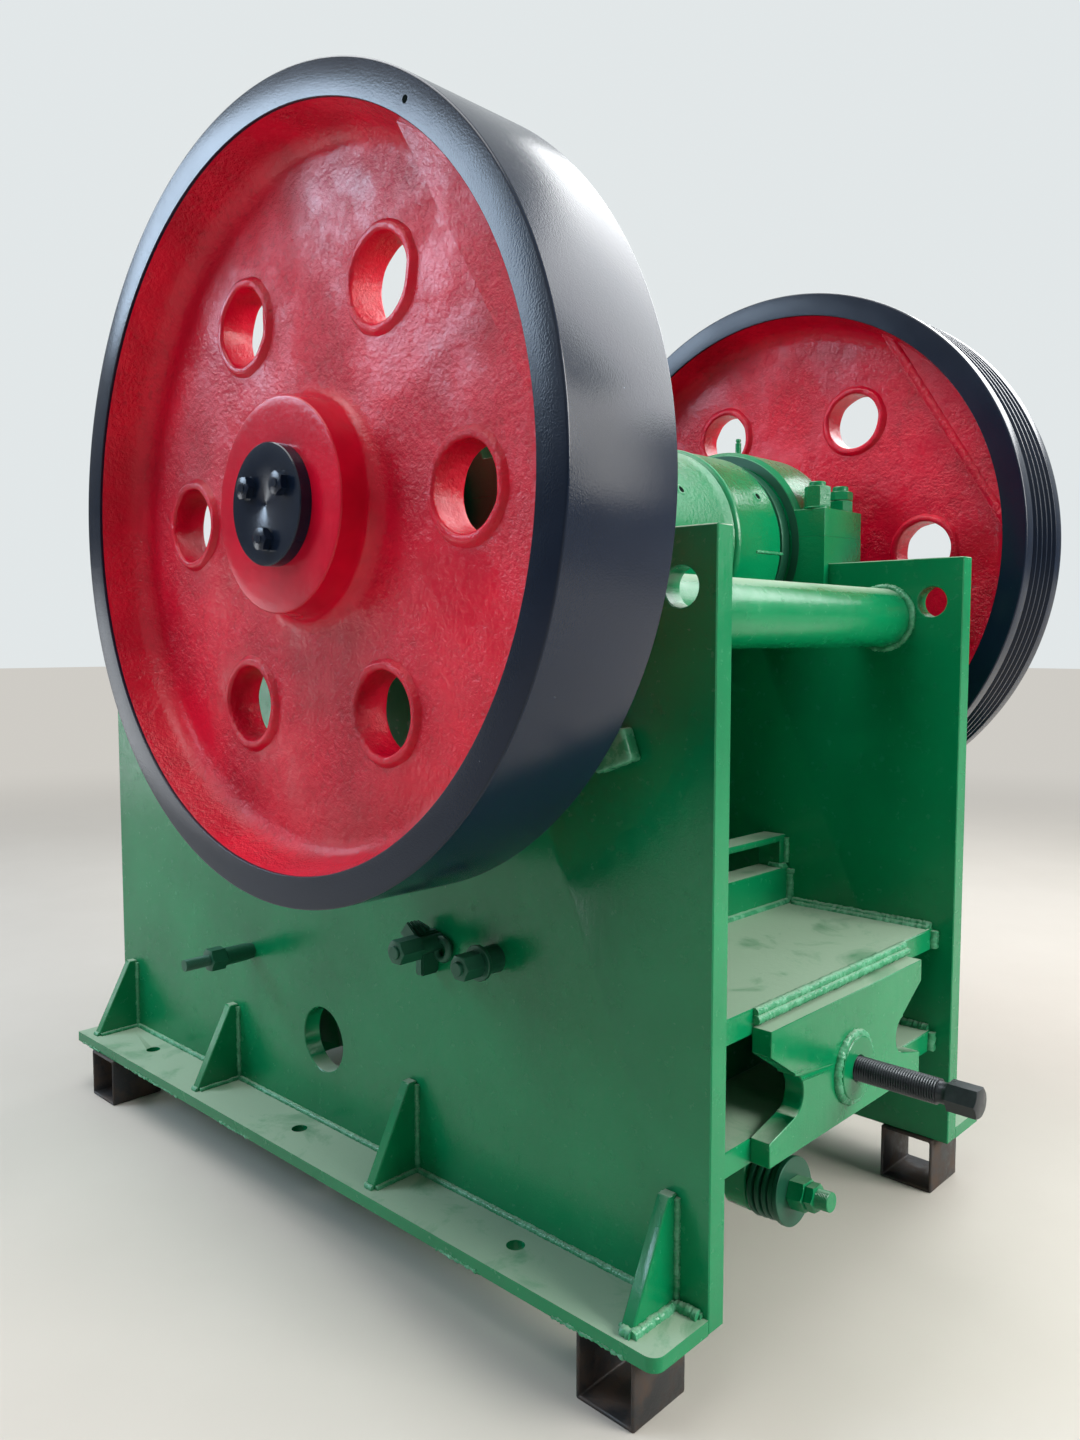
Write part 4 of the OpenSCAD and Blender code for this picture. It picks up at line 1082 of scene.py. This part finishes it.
for side, wheel in ((-1, "flywheel"), (1, "belt_sheave")):
    finish(wheel + "_casting", set_on_shaft(web_casting(wheel + "_casting"), side), "rotor",
           red_casting, (wheel + "_hub", wheel + "_web"), 40)
    rim = joined(wheel + "_turned_rim", [lathed(rim_outline(side > 0))])
    finish(wheel + "_turned_rim", set_on_shaft(rim, side), "rotor", black_rim,
           (wheel + "_rim",), 40)

# Painted shade for holes: a dull near-black disc is laid in the flywheel's drill hole and in the head's oil holes, to
# stand for their dark depth
hole_shade_paint = Surface("painted_hole_shade", Base_Color=(0.002, 0.006, 0.005, 1), Roughness=0.95, Specular_IOR_Level=0.05).material
drill_hole_shade = laid(peg(24, (4.6, -1), (4.6, 0.25)), (299, -RIM_IN - RIM_W, 1530), (0, -1, 0))
piece("flywheel_drill_mark", [drill_hole_shade], "rotor", hole_shade_paint)

# ---- Shaft end caps ----
# Turned discs that keep the wheels on the shaft, each with three bolts, painted
# blue-black like the rims.

CAP_FACE = RIM_IN + RIM_W + 2
CAP_T = 17.8
BOLT_RING = 47
discs = []
for side, label in SIDES:
    disc = turned([(0, 0), (83, 0), (83, 16.4), (81.6, CAP_T), (5, CAP_T), (2.5, 16.6), (0, 15.2)], 96)
    discs.append(laid(disc, (0, side * (CAP_FACE - CAP_T), AXIS_Z), (0, side, 0)))
    head = [peg(32, (15.5, -1), (16.5, 0), (16.5, 1.6)), hexagon(29, 11.5, 1.0),
            peg(24, (6.5, 10), (6.5, 12.4), (5.7, 13))]
    rounds = [polar(BOLT_RING, a, up=AXIS_Z) for a in (31, 149, 270)]
    bolts("cap_bolts_" + label, head, [((x, side * CAP_FACE, z), (0, side, 0)) for x, z in rounds], "rotor",
          black_rim, seed=9)
piece("shaft_cap_discs", discs, "rotor", black_rim, ("shaft_caps",), 34)

# ---- Moving jaw: pitman, jaw plate and wedge ----
# A steel casting with a bored head, ribs behind its front plate and the toggle's
# seat across its foot; the jaw plate is manganese steel under a clamping wedge.

HEAD_X, HEAD_Z = -8.48, 1095.7
HEAD_END = 303
COLLAR_R = 187.6


def under_head(co):
    """Draws the head's end corners in, under the turned head that covers them."""
    axis = at(HEAD_X, 0, HEAD_Z)
    away = Vector((co.x - axis.x, 0, co.z - axis.z))
    if abs(co.y) < HEAD_END / 1000 - 0.001 or away.length < 0.15:
        return co
    way = away.normalized() * 0.165
    return Vector((axis.x + way.x, math.copysign(HEAD_END / 1000 - 0.003, co.y), axis.z + way.z))


eased("pitman", 0.003, enamel_cast, steps=2, sunk=under_head)
for cast in ("pitman_ribs", "pitman_bars", "pitman_toe"):
    eased(cast, 0.005, enamel_cast, steps=2)

# The head's outside: a barrel between two collars, each with a lip, a crease and a rounded end
half_head = [(178.4, 118), (180, 130), (183, 143), (181.2, 145.6), (181.6, 147), (185, 148.4), (187.6, 151),
             (188.9, 155.5), (188.5, 161), (187.5, 167), (187.4, 228), (187.4, 289), (186.5, 294.1), (184.1, 298),
             (180.2, 301.2), (175, 302.8), (170, 303), (97, 303)]
head = turned([(r, -y) for r, y in reversed(half_head)] + half_head, 160)
for v in head.verts:
    if v.co.xy.length > 0.17:
        v.co += noise.noise_vector(v.co * 24) * 0.0005 + noise.noise_vector(v.co * 75) * 0.00025
laid(head, (HEAD_X, 0, HEAD_Z), (0, 1, 0))
piece("pitman_head", [head], "pitman", enamel_cast, angle=40)
seams = [[(x, s * y, z) for y in range(210, 302, 10)]
         for s in (-1, 1) for x, z in [polar(COLLAR_R, a, HEAD_X, HEAD_Z) for a in (-4, 184)]]
weld("head_seams", seams, "pitman", radius=2.6, lumps=6.0, seed=51)
# Each oil hole is a dull black disc, painted shade for the hole's depth, inside a raised lip
oil_hole_shades, lips = [], []
for angle, y in ((30, 250), (28, 14), (30, -250)):
    x, z = polar(187.2 if abs(y) > 150 else 178.3, angle, HEAD_X, HEAD_Z)
    u, v = polar(1, angle)
    oil_hole_shades.append(laid(peg(24, (6.6, -1), (6.6, 0.8)), (x, y, z), (u, 0, v)))
    lips.append(laid(turned([(6.4, -1), (11, -1), (10, 1.2), (7.8, 1.9), (6.4, 1.2)], 24), (x, y, z), (u, 0, v)))
piece("head_oil_holes", oil_hole_shades, "pitman", hole_shade_paint)
piece("head_hole_lips", lips, "pitman", enamel_weld, angle=50)
eased("moving_jaw_plate", 0.003, manganese)
eased("jaw_wedge", 0.004, manganese, steps=2)
